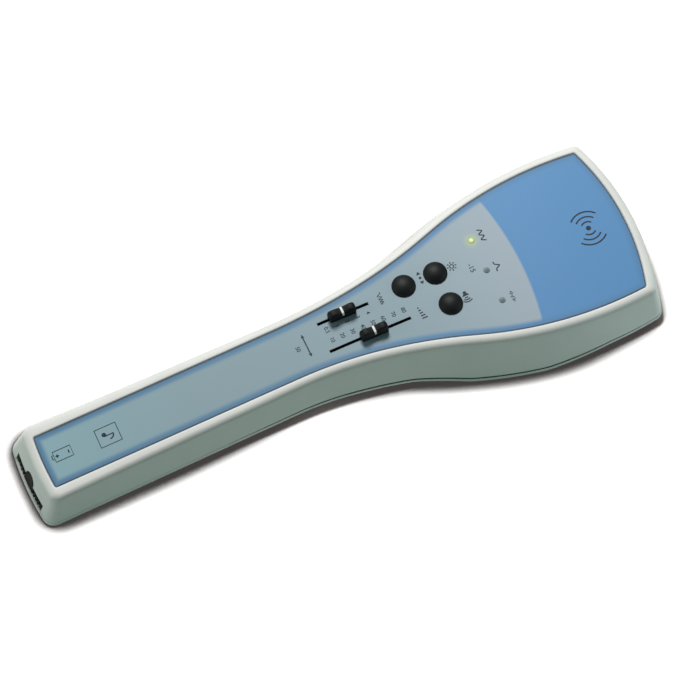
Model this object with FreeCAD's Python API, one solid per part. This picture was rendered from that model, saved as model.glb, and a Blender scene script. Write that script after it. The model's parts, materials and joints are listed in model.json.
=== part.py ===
"""Hand-held play audiometer: a paddle-shaped housing on a slim battery handle.

Frame: millimetres, +X from the handle end to the head tip, +Z up out of the control panel.
The pieces are laid out with x = 0 near the handle end and moved to the middle at the end.
"""
import math
import os

import FreeCAD
import Part

V = FreeCAD.Vector

# ---------------------------------------------------------------- driving dimensions
# Control panel foil, seen from above
panel_x0 = 10.0            # handle end of the foil
panel_tip_x = 323.2        # furthest point of the curved head end
panel_handle_half = 14.4   # half width along the handle
panel_crest_x = 297.0      # where the head is widest
panel_crest_half = 41.6
flare_in_radius = 270.0    # hollow curve where the handle opens out
flare_out_radius = 200.0   # full curve of the head's side
flare_angle = 18.7         # steepest slope of the side
tip_radius = 126.0
end_radius = 160.0         # slight bulge of the handle end
foil_corner_handle = 1.2
foil_corner_head = 1.5
foil_thickness = 0.4
foil_gap = 0.15            # foil edge to recess wall
recess_depth = 0.9

# Housing
panel_z = 33.2             # level panel of the head
bezel = 4.2                # rim between foil and outer edge
end_bezel = 3.9
draft = 12.0               # side walls lean out towards the parting line
end_draft = 19.0           # sloped end of the handle
handle_narrowing = 0.45    # keeps the rim even where the handle drops
handle_pitch = 4.1         # handle falls away from the panel
underside_pitch = 3.5      # handle's underside rises from its foot
kink_x = 165.0
kink_radius = 560.0
wall = 2.2
roof = 2.0                 # shell left under the foil recess
corner_handle = 3.5        # at the panel's height
corner_head = 3.5
corner_growth = 0.4        # share of the walls' lean added to the corners
corner_inset = 0.6         # share of an inner face's inset taken off them
top_edge_radius = 3.0
neck_x = 146.0
step_x = 196.0
step_z = 6.5
pad_x0 = 223.0             # flat pad under the head
pad_x1 = 261.0
tail_x = 294.0
tail_z = 5.8
tip_z = 9.0
neck_radius = 220.0        # bends of the underside, in order
step_radius = 45.0
pad_radius = 25.0
tail_radius = 60.0
rim_height = 3.0           # lower shell's rim above its underside
pad_rim_height = 3.4
far_x = 345.0
near_x = -15.0
slab_half = 80.0           # beyond the widest part of the head
joint_lip = 1.0            # lower shell's lip inside the upper shell's rim
joint_lip_height = 1.5
fit = 0.15                 # between fixed pieces that locate each other
gap = 0.3                  # between pieces that move past each other

# Sliders: two faders side by side under the panel
slot_width = 1.6
frequency_slot = (173.7, 7.9, 27.6)     # centre x, y, length
level_slot = (181.5, -7.9, 43.8)
lever_length = 3.6
lever_thickness = 1.0
frequency_rest = -0.5                   # where the knobs stand from the slot's middle
level_rest = 1.9
knob_length = 14.2
knob_width = 5.2
knob_height = 5.0
knob_saddle = 1.5
knob_lift = 0.7
knob_taper = 0.8
knob_seat = 2.2            # roof of the knob over its lever
fader_width = 7.0
fader_height = 8.2
fader_wall = 1.3

# Buttons and lamps on the panel
button_radius = 6.0
button_travel = 0.7
button_rise = 1.0
button_dome = 1.9
dome_steps = 3             # facets from the dome's rim to its flat crown
button_sides = 28
button_flange = 1.2
flange_thickness = 1.0
stem_radius = 2.0
select_button_at = (207.3, 9.1)
light_button_at = (224.5, 9.1)
stimulus_button_at = (224.5, -9.1)
lamp_radius = 1.5
lamp_x = 248.4
lamp_pitch = 17.9
lamp_height = 8.0
lamp_rise = 0.5
lamp_bevel = 0.5
lamp_sides = 16

# Circuit board
board_top = 20.3
board_thickness = 1.6
board_x0 = 150.0
board_x1 = 260.0
board_edge = 1.2
board_screws_at = [(157.5, 0.0), (240.0, 26.0), (240.0, -26.0)]
switch_side = 6.0
switch_height = 3.5
plunger_side = 3.4
plunger_rise = 1.3

# Loudspeaker behind the pad
speaker_x = 242.5
speaker_radius = 15.8
speaker_depth = 8.0
speaker_sides = 28
cone_edge = 0.2
cone_depth = 4.2
cone_cap = 3.4
cone_paper = 0.4
magnet_radius = 8.5
magnet_height = 5.0
cloth_thickness = 0.3
gasket_thickness = 0.6
grille_radius = 12.0
grille_slot = 1.8
grille_pitch = 3.6

# Light window near the head tip
window_setback = 19.2      # from the foil's tip
window_length = 24.0
window_width = 8.0
window_flange = 2.0
light_board_lift = 9.0
light_board_length = 42.0
light_board_width = 10.0
light_led_radius = 2.5
light_led_height = 5.5
light_led_pitch = 7.0
light_post_y = 17.0

# Battery bay, in a frame that lies along the handle's underside
cell_radius = 7.1
cell_length = 49.5
cell_nub = 1.0
cell_side = 7.5
bay_wall = 1.4
tray_roof = 1.0
tray_clear = 0.4           # above the cells
tray_lift = 2.2            # tray's foot above the door's rim
tray_post_radius = 2.0
contact_thickness = 0.4
contact_spring = 2.8
contact_reach = 13.5       # half width of the contact plates
contact_inner = 1.5
coil_foot = 4.6
coil_tip = 2.4
cell_lift = 0.3
door_half = 15.6
door_margin = 2.0          # door's inner edge beyond the bay
door_tongue = 3.4
tongue_thickness = 1.2
tongue_root = 3.2
tongue_half = 3.0
latch_slot_height = 5.4
latch_notch = 4.5
latch_setback = 0.6
latch_plate = 1.5
latch_travel = 1.5
latch_grooves = 12
latch_groove_depth = 0.5
latch_groove_width = 0.8
door_nose = wall / 2       # rounded inner edge that the door turns on

# Housing screws
screws_at = [(92.0, 0.0), (140.0, 9.0), (140.0, -9.0), (286.0, 31.0), (286.0, -31.0)]
screw_radius = 1.2
screw_head_radius = 2.5
screw_head_height = 1.8
screw_head_sides = 16
screw_length = 11.0
screw_seat = 4.5           # head seat above the underside
seat_floor = 2.0
boss_radius = 3.2
board_post_radius = 2.4
board_screw_radius = 1.0
board_screw_grip = 5.0


def tan(degrees):
    return math.tan(math.radians(degrees))


def arc_points(centre, radius, a0, a1):
    """Start, middle and end of an arc from angle a0 to a1, in radians."""
    return [V(centre[0] + radius * math.cos(a), centre[1] + radius * math.sin(a), 0)
            for a in (a0, (a0 + a1) / 2, a1)]


def circle_meet(c1, r1, c2, r2):
    """The upper of the two points where two circles meet."""
    dx, dy = c2[0] - c1[0], c2[1] - c1[1]
    d = math.hypot(dx, dy)
    along = (r1 * r1 - r2 * r2 + d * d) / (2 * d)
    across = math.sqrt(r1 * r1 - along * along)
    points = [(c1[0] + (along * dx + s * across * dy) / d,
               c1[1] + (along * dy - s * across * dx) / d) for s in (-1, 1)]
    return max(points, key=lambda p: p[1])


def paddle_wire(z, grow, handle_half, end_x, r_handle, r_head):
    """Closed plan outline at height z: the foil's outline grown by a width."""
    theta = math.radians(flare_angle)
    r1 = flare_in_radius - grow
    r2 = flare_out_radius + grow
    crest = (panel_crest_x, panel_crest_half - flare_out_radius)
    p2 = (crest[0] - r2 * math.sin(theta), crest[1] + r2 * math.cos(theta))
    rise = p2[1] - handle_half - r1 * (1 - math.cos(theta))
    p1 = (p2[0] - rise / math.tan(theta), p2[1] - rise)
    start_x = p1[0] - r1 * math.sin(theta)
    tip = (panel_tip_x - tip_radius, 0.0)
    r_tip = tip_radius + grow
    corner = circle_meet(crest, r2 - r_head, tip, r_tip - r_head)
    a_side = math.atan2(corner[1] - crest[1], corner[0] - crest[0])
    a_tip = math.atan2(corner[1] - tip[1], corner[0] - tip[0])
    end = (end_x + end_radius, 0.0)
    cy = handle_half - r_handle
    cx = end[0] - math.sqrt((end_radius - r_handle) ** 2 - cy * cy)
    a_end = math.atan2(cy, cx - end[0])
    half = [
        arc_points((cx, cy), r_handle, a_end, math.pi / 2),
        [V(cx, handle_half, 0), V(start_x, handle_half, 0)],
        arc_points((start_x, handle_half + r1), r1, -math.pi / 2, -math.pi / 2 + theta),
        [V(p1[0], p1[1], 0), V(p2[0], p2[1], 0)],
        arc_points(crest, r2, math.pi / 2 + theta, a_side),
        arc_points(corner, r_head, a_side, a_tip),
    ]
    tip_arc = arc_points(tip, r_tip, a_tip, -a_tip)
    end_arc = arc_points(end, end_radius, 2 * math.pi - a_end, a_end)
    mirrored = [[V(p.x, -p.y, 0) for p in reversed(piece)] for piece in reversed(half)]
    edges = []
    for piece in half + [tip_arc] + mirrored + [end_arc]:
        piece = [V(p.x, p.y, z) for p in piece]
        curve = Part.Arc(*piece) if len(piece) == 3 else Part.LineSegment(*piece)
        edges.append(curve.toShape())
    return Part.Wire(edges)


def foil_wire(z, inset):
    """Outline of the foil, or of its recess at inset 0."""
    return paddle_wire(z, -inset, panel_handle_half - inset, panel_x0 + inset,
                       foil_corner_handle, foil_corner_head)


def housing_wire(z, inset):
    """Outline of the housing's drafted wall at height z, or of its inner face."""
    lean = (panel_z - z) * tan(draft)
    grow = bezel + lean - inset
    handle_half = panel_handle_half + grow - handle_narrowing
    end_x = panel_x0 - end_bezel - (panel_z - kink_x * tan(handle_pitch) - z) * tan(end_draft) + inset
    change = lean * corner_growth - inset * corner_inset
    return paddle_wire(z, grow, handle_half, end_x, corner_handle + change, corner_head + change)


def drafted_block(inset):
    """Solid between two outlines, taller than the housing."""
    low = housing_wire(-6.0, inset)
    high = housing_wire(panel_z + 6.0, inset)
    return Part.makeLoft([low, high], True, True)


def smooth_path(points, radii):
    """Edges of a polyline in the XZ plane with its corners rounded to arcs."""
    points = [V(x, 0, z) for x, z in points]
    edges = []
    start = points[0]
    for i in range(1, len(points) - 1):
        into = (points[i] - points[i - 1]).normalize()
        out = (points[i + 1] - points[i]).normalize()
        turn = into.getAngle(out)
        reach = radii[i - 1] * math.tan(turn / 2)
        a = points[i] - into * reach
        b = points[i] + out * reach
        bisector = (out - into).normalize()
        middle = points[i] + bisector * (radii[i - 1] * (1 / math.cos(turn / 2) - 1))
        edges.append(Part.LineSegment(start, a).toShape())
        edges.append(Part.Arc(a, middle, b).toShape())
        start = b
    edges.append(Part.LineSegment(start, points[-1]).toShape())
    return edges


def top_path(drop):
    z0 = panel_z - drop
    return smooth_path([(near_x, z0 - (kink_x - near_x) * tan(handle_pitch)), (kink_x, z0), (far_x, z0)],
                       [kink_radius])


def bottom_path(lift, pad_lift):
    slope = tan(underside_pitch)
    points = [(near_x, (near_x - end_foot_x) * slope + lift), (neck_x, (neck_x - end_foot_x) * slope + lift),
              (step_x, step_z + lift), (pad_x0, pad_lift), (pad_x1, pad_lift), (tail_x, tail_z + lift),
              (far_x, tip_z + lift)]
    return smooth_path(points, [neck_radius, step_radius, pad_radius, pad_radius, tail_radius])


def side_slab(lower, upper):
    """Solid across the whole width between two side-view paths."""
    a, b = lower[0].Vertexes[0].Point, lower[-1].Vertexes[-1].Point
    c, d = upper[0].Vertexes[0].Point, upper[-1].Vertexes[-1].Point
    wire = Part.Wire(lower + [Part.LineSegment(b, d).toShape()] + upper[::-1]
                     + [Part.LineSegment(c, a).toShape()])
    face = Part.Face(Part.Wire(Part.__sortEdges__(wire.Edges)))
    face.translate(V(0, -slab_half, 0))
    return face.extrude(V(0, 2 * slab_half, 0))


# ---------------------------------------------------------------- small helpers
def box(x0, x1, y0, y1, z0, z1):
    return Part.makeBox(x1 - x0, y1 - y0, z1 - z0, V(x0, y0, z0))


def rod(x, y, z0, z1, radius):
    return Part.makeCylinder(radius, z1 - z0, V(x, y, z0))


def prism(x, y, z0, z1, radius, sides=8):
    """Upright post with flat sides, radius measured to its corners."""
    turns = [2 * math.pi * (i + 0.5) / sides for i in range(sides + 1)]
    wire = Part.makePolygon([V(x + radius * math.cos(a), y + radius * math.sin(a), z0) for a in turns])
    return Part.Face(wire).extrude(V(0, 0, z1 - z0))


def turned(points, x, y, sides):
    """Many-sided solid of revolution from a closed list of (radius, z) points."""
    faces = []
    for (r0, z0), (r1, z1) in zip(points, points[1:] + points[:1]):
        for i in range(sides):
            a, b = 2 * math.pi * i / sides, 2 * math.pi * (i + 1) / sides
            ring = [(r0, a, z0), (r1, a, z1), (r1, b, z1), (r0, b, z0)]
            corners = []
            for r, t, z in ring:
                corner = V(x + r * math.cos(t), y + r * math.sin(t), z)
                if all((corner - other).Length > 1e-6 for other in corners):
                    corners.append(corner)
            if len(corners) > 2:
                faces.append(Part.Face(Part.makePolygon(corners + corners[:1])))
    solid = Part.Solid(Part.Shell(faces)).removeSplitter()
    if solid.Volume < 0:
        solid.reverse()
    return solid


def stadium(x, y, length, width, z0, z1, along_x=True):
    """Upright prism with round ends, length measured over the ends."""
    r = width / 2
    half = length / 2 - r
    if along_x:
        shape = box(x - half, x + half, y - r, y + r, z0, z1)
        ends = [(x - half, y), (x + half, y)]
    else:
        shape = box(x - r, x + r, y - half, y + half, z0, z1)
        ends = [(x, y - half), (x, y + half)]
    for ex, ey in ends:
        shape = shape.fuse(rod(ex, ey, z0, z1, r))
    return shape.removeSplitter()


def to_handle(shape):
    """Turn a piece from the handle's own frame into the housing's."""
    moved = shape.copy()
    moved.rotate(V(0, 0, 0), V(0, 1, 0), -underside_pitch)
    moved.translate(V(end_foot_x, 0, 0))
    return moved


def underside_z(x):
    """Height of the underside on the centre line, before its bends are rounded."""
    points = [(near_x, (near_x - end_foot_x) * tan(underside_pitch)),
              (neck_x, (neck_x - end_foot_x) * tan(underside_pitch)), (step_x, step_z),
              (pad_x0, 0.0), (pad_x1, 0.0), (tail_x, tail_z), (far_x, tip_z)]
    for (xa, za), (xb, zb) in zip(points, points[1:]):
        if xa <= x <= xb:
            return za + (zb - za) * (x - xa) / (xb - xa)
    return 0.0


def cut_all(shape, tools):
    for tool in tools:
        shape = shape.cut(tool)
    return shape


def fuse_all(shapes):
    return shapes[0].multiFuse(shapes[1:]).removeSplitter() if len(shapes) > 1 else shapes[0]


# ---------------------------------------------------------------- housing form
foil_top = panel_z - recess_depth + foil_thickness
ceiling = panel_z - recess_depth - roof
end_foot_x = panel_x0 - end_bezel - (panel_z - kink_x * tan(handle_pitch)) * tan(end_draft)
latch_top = rim_height + latch_slot_height + latch_notch
end_inner_x = (panel_x0 - end_bezel + wall - end_foot_x
               - (panel_z - kink_x * tan(handle_pitch) - latch_top) * tan(end_draft))
tray_x0 = end_inner_x + latch_plate + latch_travel + 2 * gap
latch_depth = tray_x0 - latch_travel - gap
bay_x0 = tray_x0 + bay_wall
bay_x1 = bay_x0 + 2 * contact_thickness + contact_spring + cell_length + cell_nub
door_x1 = bay_x1 + bay_wall + door_margin
window_x = panel_tip_x - window_setback


def rim_edges(shape):
    """Edges where the drafted wall meets the top."""
    def lies_flat(face):
        u0, u1, v0, v1 = face.ParameterRange
        return abs(face.normalAt((u0 + u1) / 2, (v0 + v1) / 2).z) > 0.9
    rim = []
    for edge in shape.Edges:
        flags = [lies_flat(f) for f in shape.ancestorsOfType(edge, Part.Face)]
        if len(flags) == 2 and flags[0] != flags[1] and edge.CenterOfMass.z > panel_z / 2:
            rim.append(edge)
    return rim


def outer_form():
    form = drafted_block(0.0).common(side_slab(bottom_path(0.0, 0.0), top_path(0.0)))
    return form.makeFillet(top_edge_radius, rim_edges(form))


def parting(lift):
    return bottom_path(rim_height + lift, pad_rim_height + lift)


def cavity():
    return drafted_block(wall).common(side_slab(bottom_path(wall, wall), top_path(recess_depth + roof)))


def foil_prism(inset):
    low = Part.Face(foil_wire(0.0, inset))
    return low.extrude(V(0, 0, panel_z + 10))


def panel_openings(extra):
    """Slots, button holes and lamp holes through the panel."""
    tools = []
    low, high = ceiling - roof, panel_z + roof
    for x, y, length in (frequency_slot, level_slot):
        tools.append(box(x - length / 2, x + length / 2, y - slot_width / 2, y + slot_width / 2, low, high))
    for x, y in (select_button_at, light_button_at, stimulus_button_at):
        tools.append(rod(x, y, low, high, button_radius + gap))
    for i in (-1, 0, 1):
        tools.append(rod(lamp_x, i * lamp_pitch, low, high, lamp_radius + extra))
    return tools


def latch_opening(clear):
    """Slot with a thumb notch through the handle's end wall, shrunk by a clearance."""
    z0 = rim_height + clear
    z1 = rim_height + latch_slot_height - clear
    bar = box(near_x, latch_depth, -door_half + clear, door_half - clear, z0, z1)
    notch = Part.makeCylinder(latch_notch - clear, latch_depth - near_x, V(near_x, 0, z1), V(1, 0, 0))
    notch = notch.common(box(near_x, latch_depth, -latch_notch, latch_notch, z1 - 0.5, latch_top))
    return bar.fuse(notch)


def screw_boss(x, y):
    z = underside_z(x) + screw_seat + seat_floor
    top = panel_z if x > kink_x else panel_z - (kink_x - x) * tan(handle_pitch)
    post = prism(x, y, z, top - recess_depth - roof / 2, boss_radius)
    return post.cut(prism(x, y, z - 1, z + screw_length - seat_floor + 1, screw_radius + 0.05))


def upper_shell(form, hollow):
    shell = form.common(side_slab(parting(0.0), top_path(-5.0)))
    shell = shell.cut(hollow)
    rebate = drafted_block(wall - joint_lip - fit).common(
        side_slab(parting(-1.0), parting(joint_lip_height + fit)))
    shell = shell.cut(rebate)
    shell = shell.cut(foil_prism(0.0).common(side_slab(top_path(recess_depth), top_path(-5.0))))
    board_posts = []
    for x, y in board_screws_at:
        post = prism(x, y, board_top, ceiling + roof / 2, board_post_radius)
        board_posts.append(post.cut(prism(x, y, board_top - 1, board_top + board_screw_grip + 1,
                                          board_screw_radius + 0.05)))
    shell = fuse_all([shell] + [screw_boss(x, y) for x, y in screws_at] + board_posts)
    shell = cut_all(shell, panel_openings(0.4))
    return shell.cut(to_handle(latch_opening(0.0)))


def door_zone(clear):
    """Space of the battery door in the handle's frame."""
    return to_handle(box(-20, door_x1 + clear, -door_half - clear, door_half + clear, -10, rim_height + 3))


def grille_slots():
    slots = []
    count = int(grille_radius / grille_pitch)
    for i in range(-count, count + 1):
        x = speaker_x + i * grille_pitch
        reach = math.sqrt(grille_radius ** 2 - (i * grille_pitch) ** 2)
        slots.append(stadium(x, 0, 2 * reach, grille_slot, -2, wall + 2, along_x=False))
    return slots


def speaker_collar():
    low = wall / 2
    high = wall + cloth_thickness + gasket_thickness + 2.5
    return rod(speaker_x, 0, low, high, speaker_radius + 1.4).cut(
        rod(speaker_x, 0, low - 1, high + 1, speaker_radius + fit))


def light_posts():
    floor = underside_z(window_x)
    posts = []
    for side in (-1, 1):
        posts.append(prism(window_x, side * light_post_y, floor + wall / 2, floor + wall + light_board_lift,
                           board_post_radius))
    return posts


def lower_shell(form, hollow):
    shell = form.common(side_slab(bottom_path(-8.0, -8.0), parting(0.0)))
    shell = shell.cut(hollow)
    lip = drafted_block(wall - joint_lip).cut(drafted_block(wall))
    lip = lip.common(side_slab(parting(-0.2), parting(joint_lip_height)))
    parts = [shell, lip, speaker_collar()] + light_posts()
    for x, y in screws_at:
        z = underside_z(x)
        parts.append(prism(x, y, z + wall / 2, z + screw_seat + seat_floor, boss_radius + 1.2))
    shell = fuse_all(parts)
    for x, y in screws_at:
        z = underside_z(x)
        shell = shell.cut(rod(x, y, z - 5, z + screw_seat, screw_head_radius + 0.4))
        shell = shell.cut(prism(x, y, z, z + screw_length, screw_radius + gap))
    shell = cut_all(shell, grille_slots())
    shell = shell.cut(stadium(window_x, 0, window_length, window_width, -5, 30, along_x=False))
    return shell.cut(door_zone(gap))


def battery_door(form, hollow):
    door = form.common(side_slab(bottom_path(-8.0, -8.0), parting(0.0))).cut(hollow)
    door = door.common(door_zone(0.0))
    edge = box(door_x1 - door_nose, door_x1, -door_half, door_half, -1, wall + 1)
    nose = Part.makeCylinder(door_nose, 2 * door_half, V(door_x1 - door_nose, -door_half, door_nose),
                             V(0, 1, 0))
    door = door.cut(to_handle(edge)).fuse(to_handle(nose))
    tongues = []
    for side in (-1, 1):
        y = side * door_half * 0.6
        root = box(door_x1 - tongue_root, door_x1 - door_nose, y - tongue_half, y + tongue_half,
                   wall / 2, wall + gap + tongue_thickness)
        hook = box(door_x1 - tongue_root, door_x1 + door_tongue, y - tongue_half, y + tongue_half,
                   wall + gap, wall + gap + tongue_thickness)
        tongues.append(to_handle(root.fuse(hook)))
    return fuse_all([door] + tongues)


def battery_latch():
    """Ribbed bar in the end wall's slot, with a plate behind it that keeps it in."""
    face = drafted_block(latch_setback).cut(drafted_block(wall + gap + latch_plate))
    bar = face.common(to_handle(latch_opening(fit)))
    plate = drafted_block(wall + gap).cut(drafted_block(wall + gap + latch_plate))
    keep = door_half - corner_handle
    reach = box(near_x, latch_depth, -keep, keep, rim_height + fit, latch_top + 1.0)
    latch = bar.fuse(plate.common(to_handle(reach))).removeSplitter()
    pitch = 2 * door_half / (latch_grooves + 2)
    skin = drafted_block(latch_setback + latch_groove_depth)
    for i in range(latch_grooves):
        y = (i - (latch_grooves - 1) / 2) * pitch
        if abs(y) > latch_notch:
            half = latch_groove_width / 2
            zone = box(near_x, latch_depth, y - half, y + half, rim_height, rim_height + latch_slot_height)
            latch = latch.cut(to_handle(zone).cut(skin))
    return latch


def battery_tray():
    """Bay for two cells, open towards the door and hung from the handle's roof."""
    z0 = rim_height + tray_lift
    z1 = wall + cell_lift + 2 * cell_radius + tray_clear
    half = 2 * cell_radius + 0.7
    tray = box(tray_x0, bay_x1 + bay_wall, -half - tray_roof, half + tray_roof, z0, z1 + tray_roof)
    tray = tray.cut(box(bay_x0, bay_x1, -half, half, z0 - 1, z1))
    posts = []
    for x in (bay_x0 + 6, bay_x1 - 6):
        for y in (-10, 10):
            posts.append(prism(x, y, z1 + tray_roof / 2, panel_z, tray_post_radius))
    tray = to_handle(fuse_all([tray] + posts)).common(drafted_block(wall + gap))
    return tray.common(side_slab(bottom_path(0.0, 0.0), top_path(recess_depth + roof + fit)))


def cell(side, nub_forward):
    x0 = bay_x0 + contact_thickness + (contact_spring if nub_forward else cell_nub)
    z = wall + cell_lift + cell_radius
    along = V(1, 0, 0)
    can = Part.makeCylinder(cell_radius, cell_length, V(x0, side * cell_side, z), along)
    nub_x = x0 + cell_length if nub_forward else x0 - cell_nub
    nub = Part.makeCylinder(2.7, cell_nub, V(nub_x, side * cell_side, z), along)
    return to_handle(can.fuse(nub))


def contact_coil(x_base, side, forward):
    """Conical contact spring drawn as a plain cone of its outer size."""
    z = wall + cell_lift + cell_radius
    along = V(1 if forward else -1, 0, 0)
    return Part.makeCone(coil_foot, coil_tip, contact_spring, V(x_base, side * cell_side, z), along)


def contact_plate(x0, y0, y1):
    """Upright strip across the ends of the cells."""
    return box(x0, x0 + contact_thickness, y0, y1, rim_height + 3, wall + 2 * cell_radius - 1)


def bridge_contact():
    plate = contact_plate(bay_x0, -contact_reach, contact_reach)
    return to_handle(plate.fuse(contact_coil(bay_x0 + contact_thickness, 1, True)))


def end_contact(side):
    y0, y1 = sorted((side * contact_inner, side * contact_reach))
    plate = contact_plate(bay_x1 - contact_thickness, y0, y1)
    if side < 0:
        plate = plate.fuse(contact_coil(bay_x1 - contact_thickness, side, False))
    return to_handle(plate)


# ---------------------------------------------------------------- panel pieces
def control_foil():
    foil = foil_prism(foil_gap).common(
        side_slab(top_path(recess_depth), top_path(recess_depth - foil_thickness)))
    return cut_all(foil, panel_openings(0.1))


def fader_body(slot):
    x, y, length = slot
    half = length / 2
    z1 = board_top + fader_height
    case = box(x - half - 5, x + half + 5, y - fader_width / 2, y + fader_width / 2, board_top, z1)
    room = fader_width / 2 - fader_wall
    inner = box(x - half - 1, x + half + 1, y - room, y + room, board_top + 1.8, z1 - 1.2)
    slit = box(x - half - 1, x + half + 1, y - slot_width / 2, y + slot_width / 2, z1 - 2, z1 + 1)
    return case.cut(inner).cut(slit)


def fader_lever(slot, rest):
    x, y = slot[0] + rest, slot[1]
    z1 = board_top + fader_height - 1.2
    width = fader_width / 2 - fader_wall - gap
    block = box(x - 2.5, x + 2.5, y - width, y + width, board_top + 1.8 + gap, z1 - gap)
    blade = box(x - lever_length / 2, x + lever_length / 2, y - lever_thickness / 2, y + lever_thickness / 2,
                z1 - 1, foil_top + knob_lift + knob_height - knob_seat)
    return block.fuse(blade).removeSplitter()


def slider_knob(slot, rest):
    """Finger knob with a hump at each end and a saddle between them."""
    x, y = slot[0] + rest, slot[1]
    z0 = foil_top + knob_lift
    half = knob_length / 2
    crest = half - 2.6
    top = z0 + knob_height
    ends = []
    for s in (-1, 1):
        foot, shoulder, hump = V(s * half, 0, z0), V(s * (half - 0.5), 0, top - 1.6), V(s * crest, 0, top)
        ends.append((foot, shoulder, V(s * (half - 1.1), 0, top - 0.4), hump))
    (foot0, low0, mid0, hump0), (foot1, low1, mid1, hump1) = ends
    outline = [Part.LineSegment(foot0, low0), Part.Arc(low0, mid0, hump0),
               Part.Arc(hump0, V(0, 0, top - knob_saddle), hump1), Part.Arc(hump1, mid1, low1),
               Part.LineSegment(low1, foot1), Part.LineSegment(foot1, foot0)]
    side_view = Part.Face(Part.Wire([curve.toShape() for curve in outline]))
    side_view.translate(V(x, y - knob_width / 2, 0))
    shoulder = z0 + knob_height / 2
    end_half = knob_width / 2
    crown_half = end_half - knob_taper
    corners = [(-end_half, z0), (end_half, z0), (end_half, shoulder), (crown_half, top),
               (-crown_half, top), (-end_half, shoulder)]
    end_view = Part.Face(Part.makePolygon([V(x - half, y + v, w) for v, w in corners + corners[:1]]))
    knob = side_view.extrude(V(0, knob_width, 0)).common(end_view.extrude(V(knob_length, 0, 0)))
    socket = box(x - lever_length / 2 - 0.05, x + lever_length / 2 + 0.05,
                 y - lever_thickness / 2 - 0.05, y + lever_thickness / 2 + 0.05, z0 - 1, top - knob_seat)
    return knob.cut(socket)


def push_button(at):
    x, y = at
    top = foil_top + button_rise
    flange_top = ceiling - 0.4
    plunger_top = board_top + switch_height + plunger_rise
    foot = flange_top - flange_thickness
    crown = (button_radius ** 2 + button_dome ** 2) / (2 * button_dome)
    steep = math.asin(button_radius / crown)
    dome = [(crown * math.sin(steep * k / dome_steps),
             top + button_dome - crown * (1 - math.cos(steep * k / dome_steps)))
            for k in range(dome_steps, 0, -1)]
    outline = [(0, foot), (button_radius + button_flange, foot), (button_radius + button_flange, flange_top),
               (button_radius, flange_top)] + dome + [(0, dome[-1][1])]
    stem = prism(x, y, plunger_top, foot + flange_thickness / 2, stem_radius)
    return fuse_all([turned(outline, x, y, button_sides), stem])


def switch_plunger(at):
    z = board_top + switch_height
    half = plunger_side / 2
    x, y = at
    return box(x - half, x + half, y - half, y + half, z - button_travel - 0.1, z + plunger_rise)


def switch_base(at):
    x, y = at
    half = switch_side / 2
    z = board_top + switch_height
    base = box(x - half, x + half, y - half, y + half, board_top, z)
    hole = plunger_side / 2 + gap
    return base.cut(box(x - hole, x + hole, y - hole, y + hole, z - 2 * button_travel - gap, z + 1))


def panel_lamp(index):
    y = index * lamp_pitch
    top = foil_top + lamp_rise
    base = top - lamp_height
    lens = turned([(0, base), (lamp_radius, base), (lamp_radius, top - lamp_bevel),
                   (lamp_radius - lamp_bevel, top), (0, top)], lamp_x, y, lamp_sides)
    legs = [box(lamp_x - 0.25, lamp_x + 0.25, y + s * 0.9 - 0.25, y + s * 0.9 + 0.25, board_top, base + 0.5)
            for s in (-1, 1)]
    return fuse_all([lens] + legs)


# ---------------------------------------------------------------- boards, speaker, light
def main_board():
    z0 = board_top - board_thickness
    plate = Part.Face(housing_wire(z0, wall + board_edge)).extrude(V(0, 0, board_thickness))
    plate = plate.common(box(board_x0, board_x1, -slab_half, slab_half, z0 - 1, board_top + 1))
    for x, y in board_screws_at:
        plate = plate.cut(prism(x, y, z0 - 1, board_top + 1, board_screw_radius + gap))
    return plate


def board_screw_set():
    z0 = board_top - board_thickness
    screws = []
    for x, y in board_screws_at:
        head = prism(x, y, z0 - 1.5, z0, board_post_radius)
        shank = prism(x, y, z0 - 0.5, board_top + board_screw_grip, board_screw_radius)
        screws.append(fuse_all([head, shank]))
    return Part.makeCompound(screws)


def housing_screw_set():
    screws = []
    for x, y in screws_at:
        seat = underside_z(x) + screw_seat
        head = prism(x, y, seat - screw_head_height, seat, screw_head_radius, screw_head_sides)
        shank = prism(x, y, seat - 0.5, seat + screw_length, screw_radius)
        screws.append(fuse_all([head, shank]))
    return Part.makeCompound(screws)


def speaker_cloth():
    return prism(speaker_x, 0, wall, wall + cloth_thickness, speaker_radius - 0.5, speaker_sides)


def speaker_gasket():
    z = wall + cloth_thickness
    return prism(speaker_x, 0, z, z + gasket_thickness, speaker_radius, speaker_sides).cut(
        prism(speaker_x, 0, z - 1, z + 2, speaker_radius - 2.2, speaker_sides))


def speaker_frame():
    z = wall + cloth_thickness + gasket_thickness
    r = speaker_radius
    back = z + speaker_depth
    points = [(r, z), (r, z + 1), (magnet_radius + 0.8, back), (0.0, back), (0.0, back - 0.8),
              (magnet_radius, back - 0.8), (r - 2.4, z)]
    return turned(points, speaker_x, 0, speaker_sides)


def speaker_cone():
    z = wall + cloth_thickness + gasket_thickness
    r = speaker_radius - 2.7
    edge, crown = z + cone_edge, z + cone_edge + cone_depth
    points = [(r, edge), (cone_cap, crown), (0.0, crown), (0.0, crown - cone_paper),
              (cone_cap - cone_paper / 2, crown - cone_paper), (r - 3 * cone_paper, edge)]
    return turned(points, speaker_x, 0, speaker_sides)


def speaker_magnet():
    z = wall + cloth_thickness + gasket_thickness + speaker_depth
    return prism(speaker_x, 0, z, z + magnet_height, magnet_radius, speaker_sides)


def light_window():
    plug = stadium(window_x, 0, window_length - 2 * fit, window_width - 2 * fit, 0, 40, along_x=False)
    plug = plug.common(side_slab(bottom_path(0.2, 0.2), bottom_path(wall, wall)))
    flange = stadium(window_x, 0, window_length + 2 * window_flange, window_width + 2 * window_flange,
                     0, 40, along_x=False)
    flange = flange.common(side_slab(bottom_path(wall, wall), bottom_path(wall + 1.0, wall + 1.0)))
    return fuse_all([plug, flange])


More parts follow.
